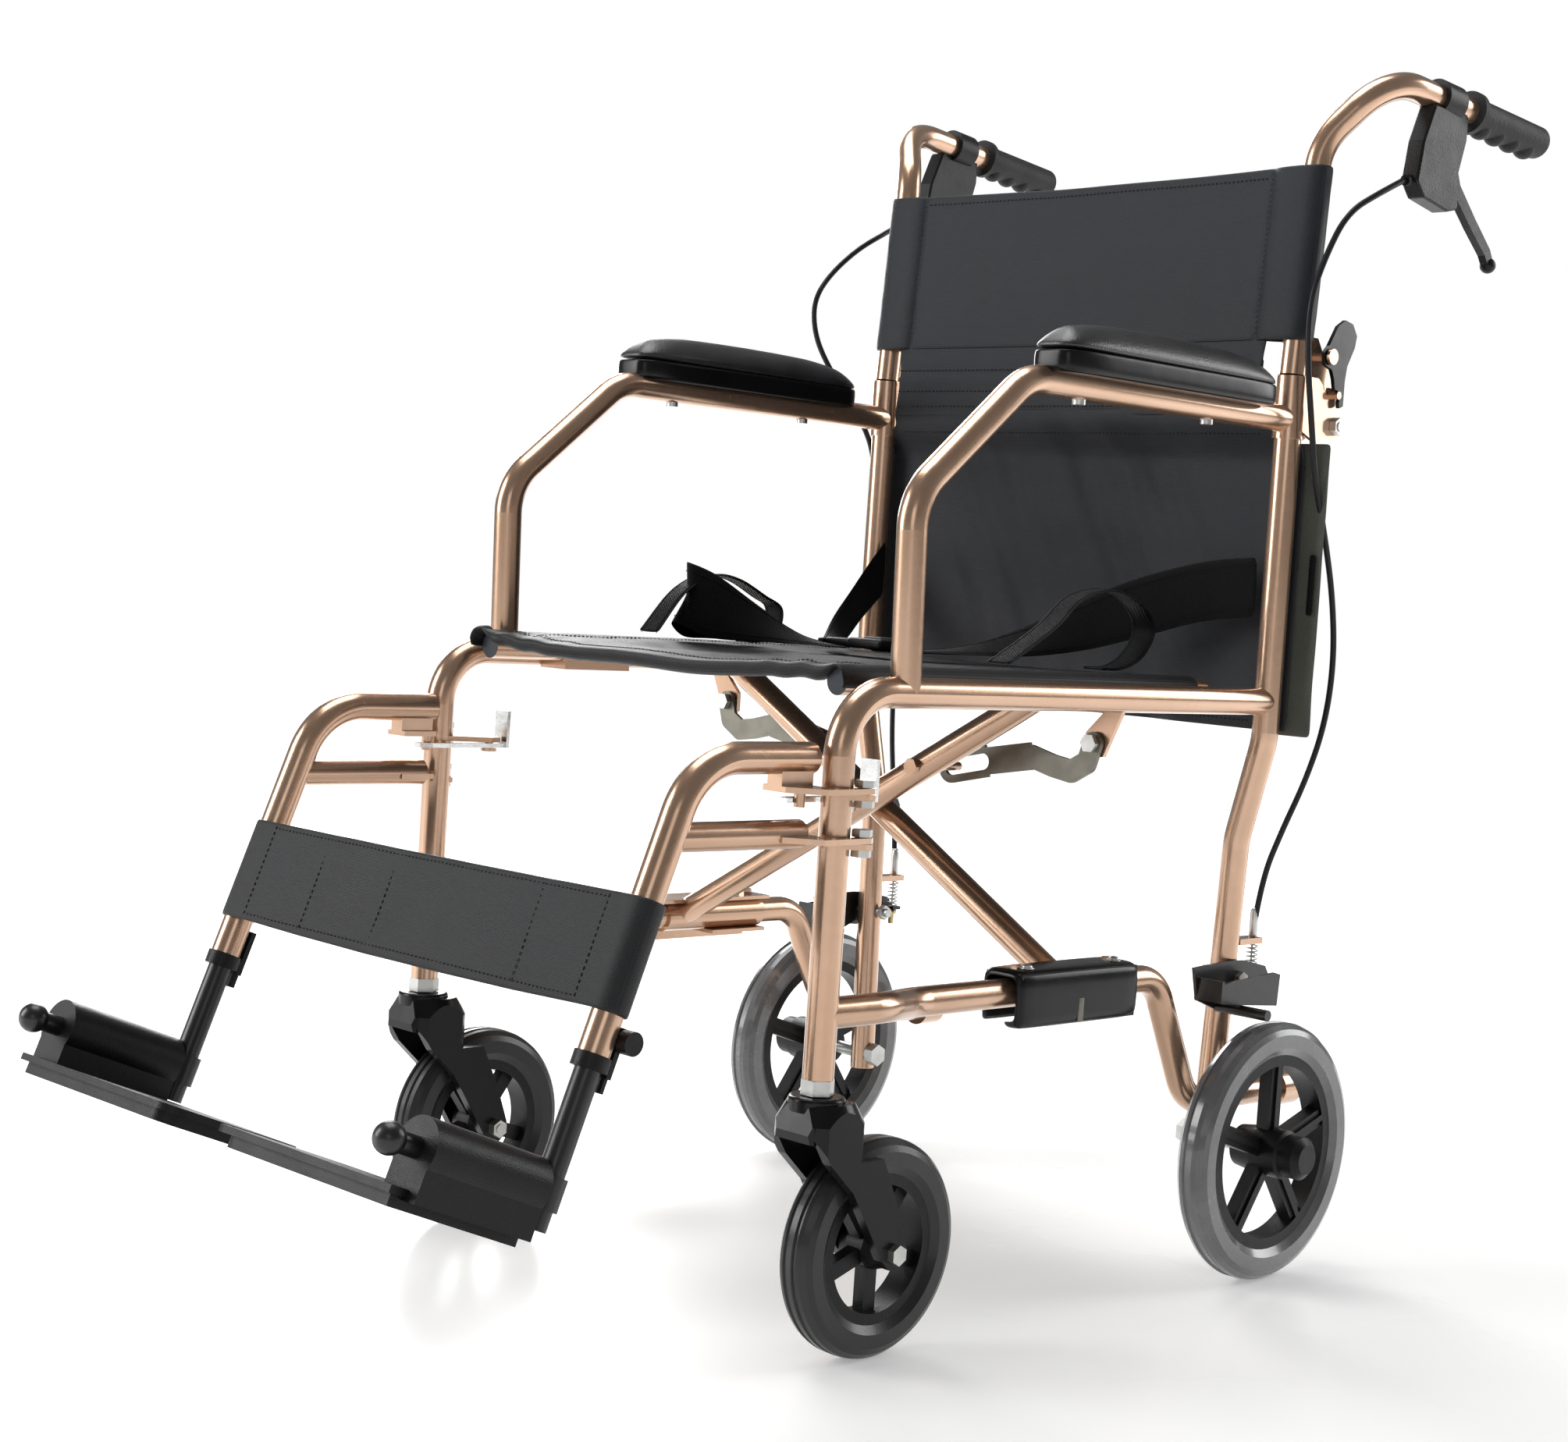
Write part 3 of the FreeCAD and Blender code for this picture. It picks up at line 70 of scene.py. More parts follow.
CAMERA_AT = at(1424.98, -1253.67, 539.33)
CAMERA_ROWS = ((0.70244, 0.70870, 0.06573), (-0.08458, -0.00858, 0.99638), (0.70670, -0.70546, 0.05391))
camera_data = bpy.data.cameras.new("camera")
camera_data.sensor_fit = "HORIZONTAL"
camera_data.sensor_width = 36.0
camera_data.lens = 58.36
camera = bpy.data.objects.new("camera", camera_data)
bpy.context.scene.collection.objects.link(camera)
right, up, back = (Vector(r) for r in CAMERA_ROWS)
turn = Matrix((right, up, back)).transposed()
camera.matrix_world = Matrix.Translation(CAMERA_AT) @ turn.to_4x4()
bpy.context.scene.camera = camera


# ---------------------------------------------------------------- node material helpers

class Mat:
    """A node material with a few short ways to add noise, bump and colour steps."""

    def __init__(self, name, **values):
        self.m = bpy.data.materials.new(name)
        self.m.use_nodes = True
        self.t = self.m.node_tree
        self.n = self.t.nodes
        self.bsdf = self.n["Principled BSDF"]
        self.coords = self.n.new("ShaderNodeTexCoord").outputs["Object"]
        for socket, value in values.items():
            self.bsdf.inputs[socket.replace("_", " ")].default_value = value

    def link(self, a, b):
        self.t.links.new(a, b)

    def noise(self, scale, detail=3.0, stretch=(1, 1, 1), rough=0.5):
        node = self.n.new("ShaderNodeTexNoise")
        node.inputs["Scale"].default_value = scale
        node.inputs["Detail"].default_value = detail
        node.inputs["Roughness"].default_value = rough
        self.link(self.stretched(stretch), node.inputs["Vector"])
        return node.outputs["Fac"]

    def stretched(self, stretch):
        if tuple(stretch) == (1, 1, 1):
            return self.coords
        node = self.n.new("ShaderNodeMapping")
        node.inputs["Scale"].default_value = stretch
        self.link(self.coords, node.inputs["Vector"])
        return node.outputs["Vector"]

    def wave(self, direction, period, distortion=0.0):
        node = self.n.new("ShaderNodeTexWave")
        node.bands_direction = direction
        node.inputs["Scale"].default_value = math.pi * 2 / (20 * period)
        node.inputs["Distortion"].default_value = distortion
        self.link(self.coords, node.inputs["Vector"])
        return node.outputs["Fac"]

    def cells(self, scale):
        node = self.n.new("ShaderNodeTexVoronoi")
        node.inputs["Scale"].default_value = scale
        self.link(self.coords, node.inputs["Vector"])
        return node.outputs["Distance"]

    def math(self, how, a, b):
        node = self.n.new("ShaderNodeMath")
        node.operation = how
        for socket, value in zip(node.inputs, (a, b)):
            if isinstance(value, (int, float)):
                socket.default_value = value
            else:
                self.link(value, socket)
        return node.outputs[0]

    def spread(self, value, low, high):
        node = self.n.new("ShaderNodeMapRange")
        node.inputs["To Min"].default_value = low
        node.inputs["To Max"].default_value = high
        self.link(value, node.inputs["Value"])
        return node.outputs["Result"]

    def ramp(self, value, stops):
        node = self.n.new("ShaderNodeValToRGB")
        ramp = node.color_ramp
        ramp.elements[0].position, ramp.elements[0].color = stops[0][0], (*stops[0][1], 1)
        ramp.elements[1].position, ramp.elements[1].color = stops[-1][0], (*stops[-1][1], 1)
        for place, colour in stops[1:-1]:
            ramp.elements.new(place).color = (*colour, 1)
        self.link(value, node.inputs["Fac"])
        return node.outputs["Color"]

    def colour(self, value):
        self.link(value, self.bsdf.inputs["Base Color"])
        return self

    def rough(self, value):
        self.link(value, self.bsdf.inputs["Roughness"])
        return self

    def bump(self, value, distance, strength=1.0):
        node = self.n.new("ShaderNodeBump")
        node.inputs["Distance"].default_value = distance
        node.inputs["Strength"].default_value = strength
        self.link(value, node.inputs["Height"])
        before = self.bsdf.inputs["Normal"].links
        if before:
            self.link(before[0].from_socket, node.inputs["Normal"])
        self.link(node.outputs["Normal"], self.bsdf.inputs["Normal"])
        return self


def champagne():
    m = Mat("champagne_lacquer", Metallic=0.88, Coat_Weight=0.6, Coat_Roughness=0.08)
    tone = m.noise(9, 4)
    m.colour(m.ramp(tone, [(0.3, (0.50, 0.315, 0.205)), (0.52, (0.54, 0.345, 0.23)),
                           (0.75, (0.58, 0.38, 0.26))]))
    m.rough(m.spread(m.noise(140, 4), 0.2, 0.3))
    m.bump(m.noise(300, 2), 0.00002)
    return m.m


def dark_paint(name, tone, rough):
    m = Mat(name, Metallic=0.2, Coat_Weight=0.25, Coat_Roughness=0.2)
    low, high = tone * 0.75, tone * 1.3
    m.colour(m.ramp(m.noise(16, 5), [(0.3, (low, low, low)), (0.75, (high, high, high * 1.04))]))
    m.rough(m.spread(m.noise(120, 4), rough - 0.06, rough + 0.08))
    m.bump(m.noise(900, 2), 0.00008)
    return m.m


def moulded(name, tone, rough, grain=900, depth=0.00012):
    m = Mat(name, Specular_IOR_Level=0.24)
    low, high = [c * 0.78 for c in tone], [c * 1.25 for c in tone]
    m.colour(m.ramp(m.noise(22, 6), [(0.3, low), (0.5, tone), (0.75, high)]))
    m.rough(m.spread(m.noise(60, 5), rough - 0.07, rough + 0.1))
    m.bump(m.cells(grain), depth).bump(m.noise(35, 4), 0.0002)
    return m.m


def leatherette():
    m = Mat("pad_skin", Specular_IOR_Level=0.5, Coat_Weight=0.15, Coat_Roughness=0.3)
    m.colour(m.ramp(m.noise(30, 5), [(0.3, (0.010, 0.010, 0.011)), (0.7, (0.021, 0.021, 0.023))]))
    m.rough(m.spread(m.noise(80, 4), 0.3, 0.42))
    m.bump(m.cells(700), 0.00015).bump(m.noise(260, 4), 0.00012)
    return m.m


def tyre(name, tone, rough, coat=0.0):
    m = Mat(name, Specular_IOR_Level=0.45, Coat_Weight=coat, Coat_Roughness=0.12)
    low, high = tone * 0.72, tone * 1.3
    dusty = m.noise(18, 6, rough=0.65)
    m.colour(m.ramp(dusty, [(0.3, (low, low, low * 1.04)), (0.55, (tone, tone, tone * 1.03)),
                            (0.8, (high, high, high * 1.03))]))
    m.rough(m.spread(dusty, rough - 0.1, rough + 0.12))
    m.bump(m.noise(500, 4), 0.00012).bump(m.noise(40, 4), 0.00025)
    return m.m


def metal(name, tone, rough, stretch=(1, 1, 1)):
    m = Mat(name, Metallic=1.0)
    low = [c * 0.75 for c in tone]
    m.colour(m.ramp(m.noise(60, 5), [(0.25, low), (0.7, tone)]))
    m.rough(m.spread(m.noise(200, 4, stretch), rough - 0.06, rough + 0.14))
    m.bump(m.noise(700, 3, stretch), 0.00006)
    return m.m


def cloth(name, dark, light, across="X", along="Z", period=0.0011, sheen=0.035):
    m = Mat(name, Sheen_Weight=sheen, Sheen_Roughness=0.4, Specular_IOR_Level=0.3)
    weave = m.math("MULTIPLY", m.wave(across, period, 0.4), m.wave(along, period, 0.4))
    soft = m.noise(7, 5, rough=0.6)
    mix = m.math("ADD", m.math("MULTIPLY", weave, 0.35), m.math("MULTIPLY", soft, 0.65))
    m.colour(m.ramp(mix, [(0.25, dark), (0.75, light)]))
    m.rough(m.spread(soft, 0.42, 0.58))
    m.bump(weave, 0.00018).bump(m.noise(900, 2), 0.0001)
    return m.m


def webbing(name, dark, light):
    m = Mat(name, Sheen_Weight=0.012, Sheen_Roughness=0.4, Specular_IOR_Level=0.14)
    rib = m.math("ADD", m.wave("DIAGONAL", 0.0016, 0.6), m.math("MULTIPLY", m.noise(300, 3), 0.5))
    m.colour(m.ramp(rib, [(0.2, dark), (0.95, light)]))
    m.rough(m.spread(m.noise(50, 3), 0.5, 0.75))
    m.bump(rib, 0.0003)
    return m.m


PAINT = champagne()
BLACK_PAINT = dark_paint("black_coating", 0.006, 0.36)
PLASTIC = moulded("black_plastic", (0.006, 0.006, 0.0065), 0.38)
GLOSS_PLASTIC = moulded("glossy_black_plastic", (0.005, 0.005, 0.0055), 0.2, 1500, 0.00004)
GREY_PLASTIC = moulded("grey_plastic", (0.045, 0.045, 0.048), 0.4)
CAP_PLASTIC = moulded("cap_plastic", (0.03, 0.035, 0.045), 0.5)
PAD_SKIN = leatherette()
REAR_TYRE = tyre("rear_tyre_rubber", 0.12, 0.24, 0.7)
CASTER_TYRE = tyre("caster_tyre_rubber", 0.012, 0.34, 0.1)
GRIP_RUBBER = moulded("grip_rubber", (0.02, 0.02, 0.021), 0.55, 500, 0.0002)
JACKET = moulded("cable_jacket", (0.012, 0.011, 0.013), 0.35, 1200, 0.00005)
ZINC = metal("zinc_plate", (0.60, 0.60, 0.58), 0.32)
DARK_STEEL = metal("dark_steel", (0.20, 0.19, 0.16), 0.38)
CHROME = metal("bright_plate", (0.78, 0.78, 0.77), 0.14)
BRASS = metal("brass_end", (0.62, 0.50, 0.25), 0.3)
FABRIC = cloth("nylon_cloth", (0.0055, 0.0065, 0.009), (0.017, 0.0195, 0.026))
SEAT_FABRIC = cloth("seat_cloth", (0.0018, 0.002, 0.0028), (0.006, 0.0068, 0.009), "X", "Y", sheen=0.012)
STRAP_FABRIC = cloth("calf_cloth", (0.008, 0.0085, 0.0095), (0.02, 0.021, 0.023))
LINING = cloth("grey_lining", (0.055, 0.06, 0.05), (0.12, 0.125, 0.105))
BELT = webbing("belt_webbing", (0.001, 0.001, 0.0012), (0.0036, 0.0036, 0.004))
THREAD = cloth("thread", (0.0015, 0.0015, 0.002), (0.006, 0.006, 0.007), period=0.0004)

NODE_LOOKS = {
    "front_tube": PAINT, "rear_post": PAINT, "arm_tube": PAINT, "lower_rail": PAINT, "handle_tube": PAINT,
    "hanger": PAINT, "cross_tube": PAINT, "seat_tube": PAINT, "foot_tube": BLACK_PAINT, "foot_clamp": PLASTIC,
    "hanger_latch": CHROME, "footplate": PLASTIC, "brake_arm": BLACK_PAINT, "brake_lever": PLASTIC,
    "brake_housing": PLASTIC, "back_lock": GLOSS_PLASTIC, "grip": GRIP_RUBBER, "rear_tyre": REAR_TYRE,
    "rear_rim": PLASTIC, "caster_tyre": CASTER_TYRE, "caster_rim": PLASTIC, "caster_fork": GLOSS_PLASTIC,
    "caster_axle": ZINC, "fold_link": DARK_STEEL, "frame_bolts": ZINC, "cross_bolt": ZINC,
}


for name, obj in NODES.items():
    look = NODE_LOOKS.get(name.split("_", 1)[-1]) or NODE_LOOKS.get(name)
    if look:
        for k in range(max(1, len(obj.data.materials))):
            if k < len(obj.data.materials):
                obj.data.materials[k] = look
            else:
                obj.data.materials.append(look)


# ---------------------------------------------------------------- mesh helpers

def mesh_object(name, verts, faces, material, smooth=True):
    data = bpy.data.meshes.new(name)
    data.from_pydata([tuple(v) for v in verts], [], faces)
    data.update()
    obj = bpy.data.objects.new(name, data)
    bpy.context.scene.collection.objects.link(obj)
    data.materials.append(material)
    if smooth:
        for face in data.polygons:
            face.use_smooth = True
    return obj


def bake(obj, *modifiers):
    """Adds modifiers as (type, {setting: value}) and applies them to the mesh."""
    for kind, settings in modifiers:
        mod = obj.modifiers.new(kind.lower(), kind)
        for key, value in settings.items():
            setattr(mod, key, value)
    graph = bpy.context.evaluated_depsgraph_get()
    data = bpy.data.meshes.new_from_object(obj.evaluated_get(graph))
    obj.modifiers.clear()
    obj.data = data
    return obj


def loft(name, rows, material, closed=False, caps=False, **how):
    """Skins rows of points; closed joins each row end to end, caps fills the first and last row."""
    width = len(rows[0])
    verts = [p for row in rows for p in row]
    faces = []
    for r in range(len(rows) - 1):
        for c in range(width if closed else width - 1):
            d = (c + 1) % width
            faces.append((r * width + c, r * width + d, (r + 1) * width + d, (r + 1) * width + c))
    if caps:
        faces.append(tuple(reversed(range(width))))
        faces.append(tuple((len(rows) - 1) * width + k for k in range(width)))
    return mesh_object(name, verts, faces, material, **how)


def join(name, objs):
    """Several meshes as one piece; keeps each mesh's material."""
    merged = bmesh.new()
    materials = []
    for obj in objs:
        start = len(materials)
        materials.extend(obj.data.materials)
        before = len(merged.faces)
        merged.from_mesh(obj.data)
        merged.faces.ensure_lookup_table()
        for face in merged.faces[before:]:
            face.material_index += start
        bpy.data.objects.remove(obj)
    data = bpy.data.meshes.new(name)
    merged.to_mesh(data)
    merged.free()
    for material in materials:
        data.materials.append(material)
    obj = bpy.data.objects.new(name, data)
    bpy.context.scene.collection.objects.link(obj)
    return obj


def frames_along(points):
    """Direction, side and up at each point of a line, carried along without twist."""
    ways = []
    for k in range(len(points)):
        a = points[max(k - 1, 0)]
        b = points[min(k + 1, len(points) - 1)]
        ways.append((b - a).normalized())
    side = ways[0].orthogonal().normalized()
    result = []
    for way in ways:
        side = (side - way * side.dot(way)).normalized()
        result.append((way, side, way.cross(side)))
    return result


def tube(name, points, radius, material, sides=16, caps=True):
    """A round tube along points; radius is one number or one per point."""
    rows = []
    for k, (point, (way, side, over)) in enumerate(zip(points, frames_along(points))):
        r = radius[k] if isinstance(radius, (list, tuple)) else radius
        rows.append([point + (side * math.cos(a) + over * math.sin(a)) * r
                     for a in (2 * math.pi * j / sides for j in range(sides))])
    return loft(name, rows, material, closed=True, caps=caps)


def curve_points(control, steps=12):
    """Points along the smooth spline that has these control points."""
    data = bpy.data.curves.new("line", "CURVE")
    data.dimensions = "3D"
    spline = data.splines.new("NURBS")
    spline.points.add(len(control) - 1)
    for point, place in zip(spline.points, control):
        point.co = (*place, 1)
    spline.order_u = 3
    spline.use_endpoint_u = True
    spline.resolution_u = steps
    obj = bpy.data.objects.new("line", data)
    bpy.context.scene.collection.objects.link(obj)
    bpy.context.view_layer.update()
    mesh = bpy.data.meshes.new_from_object(obj.evaluated_get(bpy.context.evaluated_depsgraph_get()))
    points = [v.co.copy() for v in mesh.vertices]
    bpy.data.objects.remove(obj)
    return points


def smooth_line(points, count):
    """Evenly spaced points on a smooth line that passes through the given ones."""
    fine = []
    ext = [points[0] * 2 - points[1]] + list(points) + [points[-1] * 2 - points[-2]]
    for k in range(1, len(ext) - 2):
        for j in range(16):
            t = j / 16
            a, b, c, d = ext[k - 1:k + 3]
            fine.append(0.5 * ((2 * b) + (c - a) * t + (2 * a - 5 * b + 4 * c - d) * t * t
                               + (3 * b - a - 3 * c + d) * t * t * t))
    fine.append(points[-1].copy())
    lengths = [0.0]
    for a, b in zip(fine[:-1], fine[1:]):
        lengths.append(lengths[-1] + (b - a).length)
    result = []
    k = 0
    for j in range(count):
        want = lengths[-1] * j / (count - 1)
        while k < len(lengths) - 2 and lengths[k + 1] < want:
            k += 1
        span = max(lengths[k + 1] - lengths[k], 1e-9)
        result.append(fine[k].lerp(fine[k + 1], (want - lengths[k]) / span))
    return result


def ribbon(name, one_edge, other_edge, thick, material, count=48, across=7, crown=0.0):
    """A strap between two edge lines, with rounded selvedges and a real thickness."""
    left = smooth_line(one_edge, count)
    other = smooth_line(other_edge, count)
    rows = []
    for k in range(count):
        a, b = left[k], other[k]
        before, after = max(k - 1, 0), min(k + 1, count - 1)
        way = ((left[after] + other[after]) - (left[before] + other[before])).normalized()
        over = way.cross(b - a).normalized()
        top, low = [], []
        for j in range(across):
            s = j / (across - 1)
            half = thick / 2 * (1.0 if 0 < j < across - 1 else 0.35)
            lift = crown * (1 - (2 * s - 1) ** 2)
            place = a.lerp(b, s)
            top.append(place + over * (half + lift))
            low.append(place + over * (-half + lift))
        rows.append(top + low[::-1])
    obj = loft(name, rows, material, closed=True, caps=True)
    return bake(obj, ("SUBSURF", {"levels": 1}))


def stitches(name, line, pitch=4.4, length=3.0, wide=1.1, proud=0.45, out=None):
    """A row of raised thread stitches along a line; out is the way the cloth faces."""
    total = sum((b - a).length for a, b in zip(line[:-1], line[1:]))
    count = max(4, int(total / (pitch * MM)))
    points = smooth_line(line, count + 1)
    verts, faces = [], []
    for a, b in zip(points[:-1], points[1:]):
        way = (b - a).normalized()
        face_way = out.normalized() if out is not None else way.orthogonal().normalized()
        side = way.cross(face_way).normalized()
        middle = a.lerp(b, 0.5)
        base = len(verts)
        for u, w, h in ((-1, 0, -0.4), (-0.6, 1, 0.5), (-0.6, -1, 0.5), (0.6, 1, 0.5), (0.6, -1, 0.5),
                        (1, 0, -0.4),
                        (0, 0, 1.25), (-0.6, 0, -0.6), (0.6, 0, -0.6)):
            verts.append(middle + way * (u * length / 2 * MM) + side * (w * wide / 2 * MM)
                         + face_way * (h * proud * MM))
        faces += [tuple(base + i for i in f) for f in
                  ((0, 1, 6), (0, 6, 2), (1, 3, 6), (3, 5, 6), (5, 4, 6), (4, 2, 6), (0, 7, 1), (0, 2, 7),
                   (1, 7, 8, 3), (2, 4, 8, 7), (3, 8, 5), (5, 8, 4))]
    return mesh_object(name, verts, faces, THREAD)


def ease(t):
    t = min(max(t, 0.0), 1.0)
    return t * t * (3 - 2 * t)


def solid_box(name, low, high, material, radius=1.2, segments=3):
    """A box in side-frame millimetres with rounded edges."""
    bm = bmesh.new()
    bmesh.ops.create_cube(bm, size=1.0)
    for v in bm.verts:
        v.co = at(*[low[k] + (high[k] - low[k]) * (v.co[k] + 0.5) for k in range(3)])
    data = bpy.data.meshes.new(name)
    bm.to_mesh(data)
    bm.free()
    obj = bpy.data.objects.new(name, data)
    bpy.context.scene.collection.objects.link(obj)
    data.materials.append(material)
    bake(obj, ("BEVEL", {"width": radius * MM, "segments": segments, "limit_method": "ANGLE"}))
    for face in obj.data.polygons:
        face.use_smooth = True
    return obj


def disc(name, centre, axis, profile, material, sides=28):
    """Turns (distance along axis, radius) steps, millimetres, about an axis through a point."""
    axis = axis.normalized()
    side = axis.orthogonal().normalized()
    over = axis.cross(side)
    rows = []
    for along, r in profile:
        rows.append([centre + axis * (along * MM) + (side * math.cos(a) + over * math.sin(a)) * (r * MM)
                     for a in (2 * math.pi * j / sides for j in range(sides))])
    return loft(name, rows, material, closed=True, caps=True)


# ---------------------------------------------------------------- brake cables

GRIP_LOW = 976.47       # height of the brake housing's own centre
CABLE_LEFT = [(272, 573, GRIP_LOW - 74), (270, 543, 888), (259, 514, 868), (250, 501, 832), (247, 487, 792),
              (249, 489, 742), (251, 497, 700), (250, 509, 655), (250, 532, 604), (249, 551, 556),
              (249, 560, 505), (245, 560, 452), (236, 552, 405), (222, 543, 360), (210, 537, 318),
              (206, 536, 274)]
CABLE_RIGHT = [(-272, 573, GRIP_LOW - 74), (-260, 520, 878), (-275, 500, 861), (-285, 475, 834),
               (-285, 457, 809), (-285, 458, 784), (-278, 464, 758), (-262, 486, 718), (-252, 511, 684),
               (-249, 519, 645)] + [(-x, y, z) for x, y, z in CABLE_LEFT[8:]]
for side_name, route, mirror in (("left", CABLE_LEFT, 1), ("right", CABLE_RIGHT, -1)):
    line = curve_points([at(*p) for p in route])
    cable = tube(side_name + "_cable", line, 2.5 * MM, JACKET, 12)
    ferrule = disc(side_name + "_ferrule", at(mirror * 206, 536, 269), Vector((0, 0, 1)),
                   [(0, 3.0), (1, 3.6), (20, 3.6), (22, 3.2), (25, 2.7)], ZINC)
    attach(ferrule, side_name + "_frame")
    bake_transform(cable)
    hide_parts(side_name + "_brake_cable")


# ---------------------------------------------------------------- cable springs and ends

for side_name, mirror in (("left", 1), ("right", -1)):
    x, y = mirror * 206, 536
    coil = [at(x + 4.6 * math.cos(2 * math.pi * t), y + 4.6 * math.sin(2 * math.pi * t), 236.5 + 26 * t / 7.5)
            for t in (k / 14 for k in range(int(7.5 * 14) + 1))]
    spring = tube(side_name + "_spring_wire", coil, 0.65 * MM, ZINC, 8)
    wire = tube(side_name + "_inner_wire", [at(x, y, z) for z in (222, 236, 250, 268)], 0.8 * MM, ZINC, 8)
    end = disc(side_name + "_wire_end", at(x, y, 222), Vector((0, 0, 1)),
               [(0, 1.6), (0.6, 2.6), (9, 2.6), (9.6, 4.6), (13, 4.6), (13.4, 2)], BRASS, 20)
    hardware = join(side_name + "_cable_spring", [spring, wire, end])
    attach(hardware, side_name + "_frame")


# ---------------------------------------------------------------- covers carried by one part of the frame

def with_fold(obj, body):
    """A covering that rides on one side: parented to that body, with its own copy of the mesh."""
    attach(obj, body)
    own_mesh(obj)


# ---------------------------------------------------------------- seat sling

SEAT_X, SEAT_Z, SEAT_R = 195.0, 474.0, 10.0
SEAT_FRONT, SEAT_BACK = 20.0, 431.0


def seat_row(front):
    """Across the seat: round one tube, over the gap with a slight sag, round the other tube."""
    r = SEAT_R + 1.5
    half = [(SEAT_X + r * math.cos(math.radians(a)), SEAT_Z + r * math.sin(math.radians(a)))
            for a in (-22, -8, 8, 24, 40, 56, 72, 88)]
    span = []
    for k in range(1, 36):
        s = k / 36
        x = SEAT_X - 2 * SEAT_X * s
        bulge = 4 * s * (1 - s)
        span.append((x, SEAT_Z + r - 5.5 * bulge ** 0.8 * (0.55 + 0.45 * front)))
    return half + span + [(-x, z) for x, z in half[::-1]]


def seat_wrinkle(x, y):
    """Small folds: pulled lines near the tubes, broader ones along the middle, puckers at the front corners."""
    edge = math.exp(-((abs(x) - 178) / 30) ** 2)
    lines = noise.noise(Vector((x * 0.012, y * 0.075, 3.1))) * 1.5 * edge
    broad = noise.noise(Vector((x * 0.011, y * 0.016, 8.7))) * 2.3
    corner = math.exp(-((y - 25) / 42) ** 2) * math.exp(-((abs(x) - 170) / 52) ** 2)
    pucker = math.sin(x * 0.19 + y * 0.11) * 1.9 * corner
    return lines + broad * (1 - math.exp(-((abs(x) - 195) / 24) ** 2)) + pucker


seat_rows = []
front_roll = [(11, -9.2), (4, -10.4), (0.2, -8.6), (-2.0, -5.0), (-1.4, -1.6), (1.4, -0.2)]
for back_by, drop in front_roll:
    seat_rows.append([(x, SEAT_FRONT + back_by, z + drop * (1 if abs(x) < 186 else 0.0), x)
                      for x, z in seat_row(1)])
for k in range(1, 61):
    y = SEAT_FRONT + 1.4 + (SEAT_BACK - SEAT_FRONT - 1.4) * k / 60
    fade = 1 - 0.25 * k / 60
    seat_rows.append([(x, y, z, x) for x, z in seat_row(fade)])
for back_by, drop in ((1.6, -1.4), (1.8, -4.0), (-1.0, -6.0), (-8, -6.4)):
    seat_rows.append([(x, SEAT_BACK + back_by, z + drop * (1 if abs(x) < 186 else 0.0), x)
                      for x, z in seat_row(0.75)])
rows = []
for row in seat_rows:
    line = []
    for k, (x, y, z, _) in enumerate(row):
        lift = seat_wrinkle(x, y) * (1.0 if abs(x) < 190 else 0.25)
        line.append(at(x, y, z + max(lift, -2.4)))
    rows.append(line)
# the far front corner of the hem stands up as a small ear
for r in range(len(front_roll) + 5):
    for k, point in enumerate(rows[r]):
        reach = max(0.0, (-point.x / MM - 176) / 30) * max(0.0, 1 - r / (len(front_roll) + 5))
        point.z += 7.0 * MM * min(reach, 1.0) ** 1.5
        point.y -= 6.0 * MM * min(reach, 1.0)
        point.x -= 3.0 * MM * min(reach, 1.0)
sling = loft("seat_cover", rows, SEAT_FABRIC)
bake(sling, ("SOLIDIFY", {"thickness": 2.0 * MM, "offset": 0.0}), ("SUBSURF", {"levels": 1}))
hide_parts("seat_sling")
with_fold(sling, "seat")


def on_seat(x, y, lift=1.6):
    """A point on the top of the seat cloth."""
    r = SEAT_R + 1.5
    s = (SEAT_X - x) / (2 * SEAT_X)
    bulge = max(4 * s * (1 - s), 0.0)
    z = SEAT_Z + r - 5.5 * bulge ** 0.8 * 0.9 if abs(x) < SEAT_X else SEAT_Z + r
    return at(x, y, z + max(seat_wrinkle(x, y) * (1.0 if abs(x) < 190 else 0.25), -2.4) + lift)


seams = []
for x in (-176, 176):
    for shift in (0, 5):
        inward = x - math.copysign(shift, x)
        line = [on_seat(inward, SEAT_FRONT + 8 + k * 12, 1.0) for k in range(34)]
        seams.append(stitches("seat_seam", line, out=Vector((0, 0, 1))))
for y in (SEAT_FRONT + 15, SEAT_FRONT + 20, SEAT_BACK - 12):
    line = [on_seat(-186 + k * 12.4, y, 1.0) for k in range(31)]
    seams.append(stitches("seat_seam", line, out=Vector((0, 0, 1))))
seat_seams = join("seat_stitching", seams)
with_fold(seat_seams, "seat")


# ---------------------------------------------------------------- seat belt and lifting loops

def strap(name, one_edge, other_edge, thick=1.7, count=64, crown=0.0):
    a, b = [at(*p) for p in one_edge], [at(*p) for p in other_edge]
    obj = ribbon(name, a, b, thick * MM, BELT, count, crown=crown)
    rows = []
    for inset in (0.13, 0.87):
        one, other = smooth_line(a, 60), smooth_line(b, 60)
        line = [p.lerp(q, inset) for p, q in zip(one, other)]
        way = (line[31] - line[29]).cross(other[30] - one[30])
        for sign in (1, -1):
            shifted = []
            for k in range(len(line)):
                before, after = max(k - 1, 0), min(k + 1, len(line) - 1)
                over = (line[after] - line[before]).cross(other[k] - one[k]).normalized()
                shifted.append(line[k] + over * (sign * thick / 2 * MM))
            if way.length > 0:
                rows.append(tube(name + "_rib", shifted, 0.28 * MM, BELT, 5))
    return join(name, [obj] + rows)


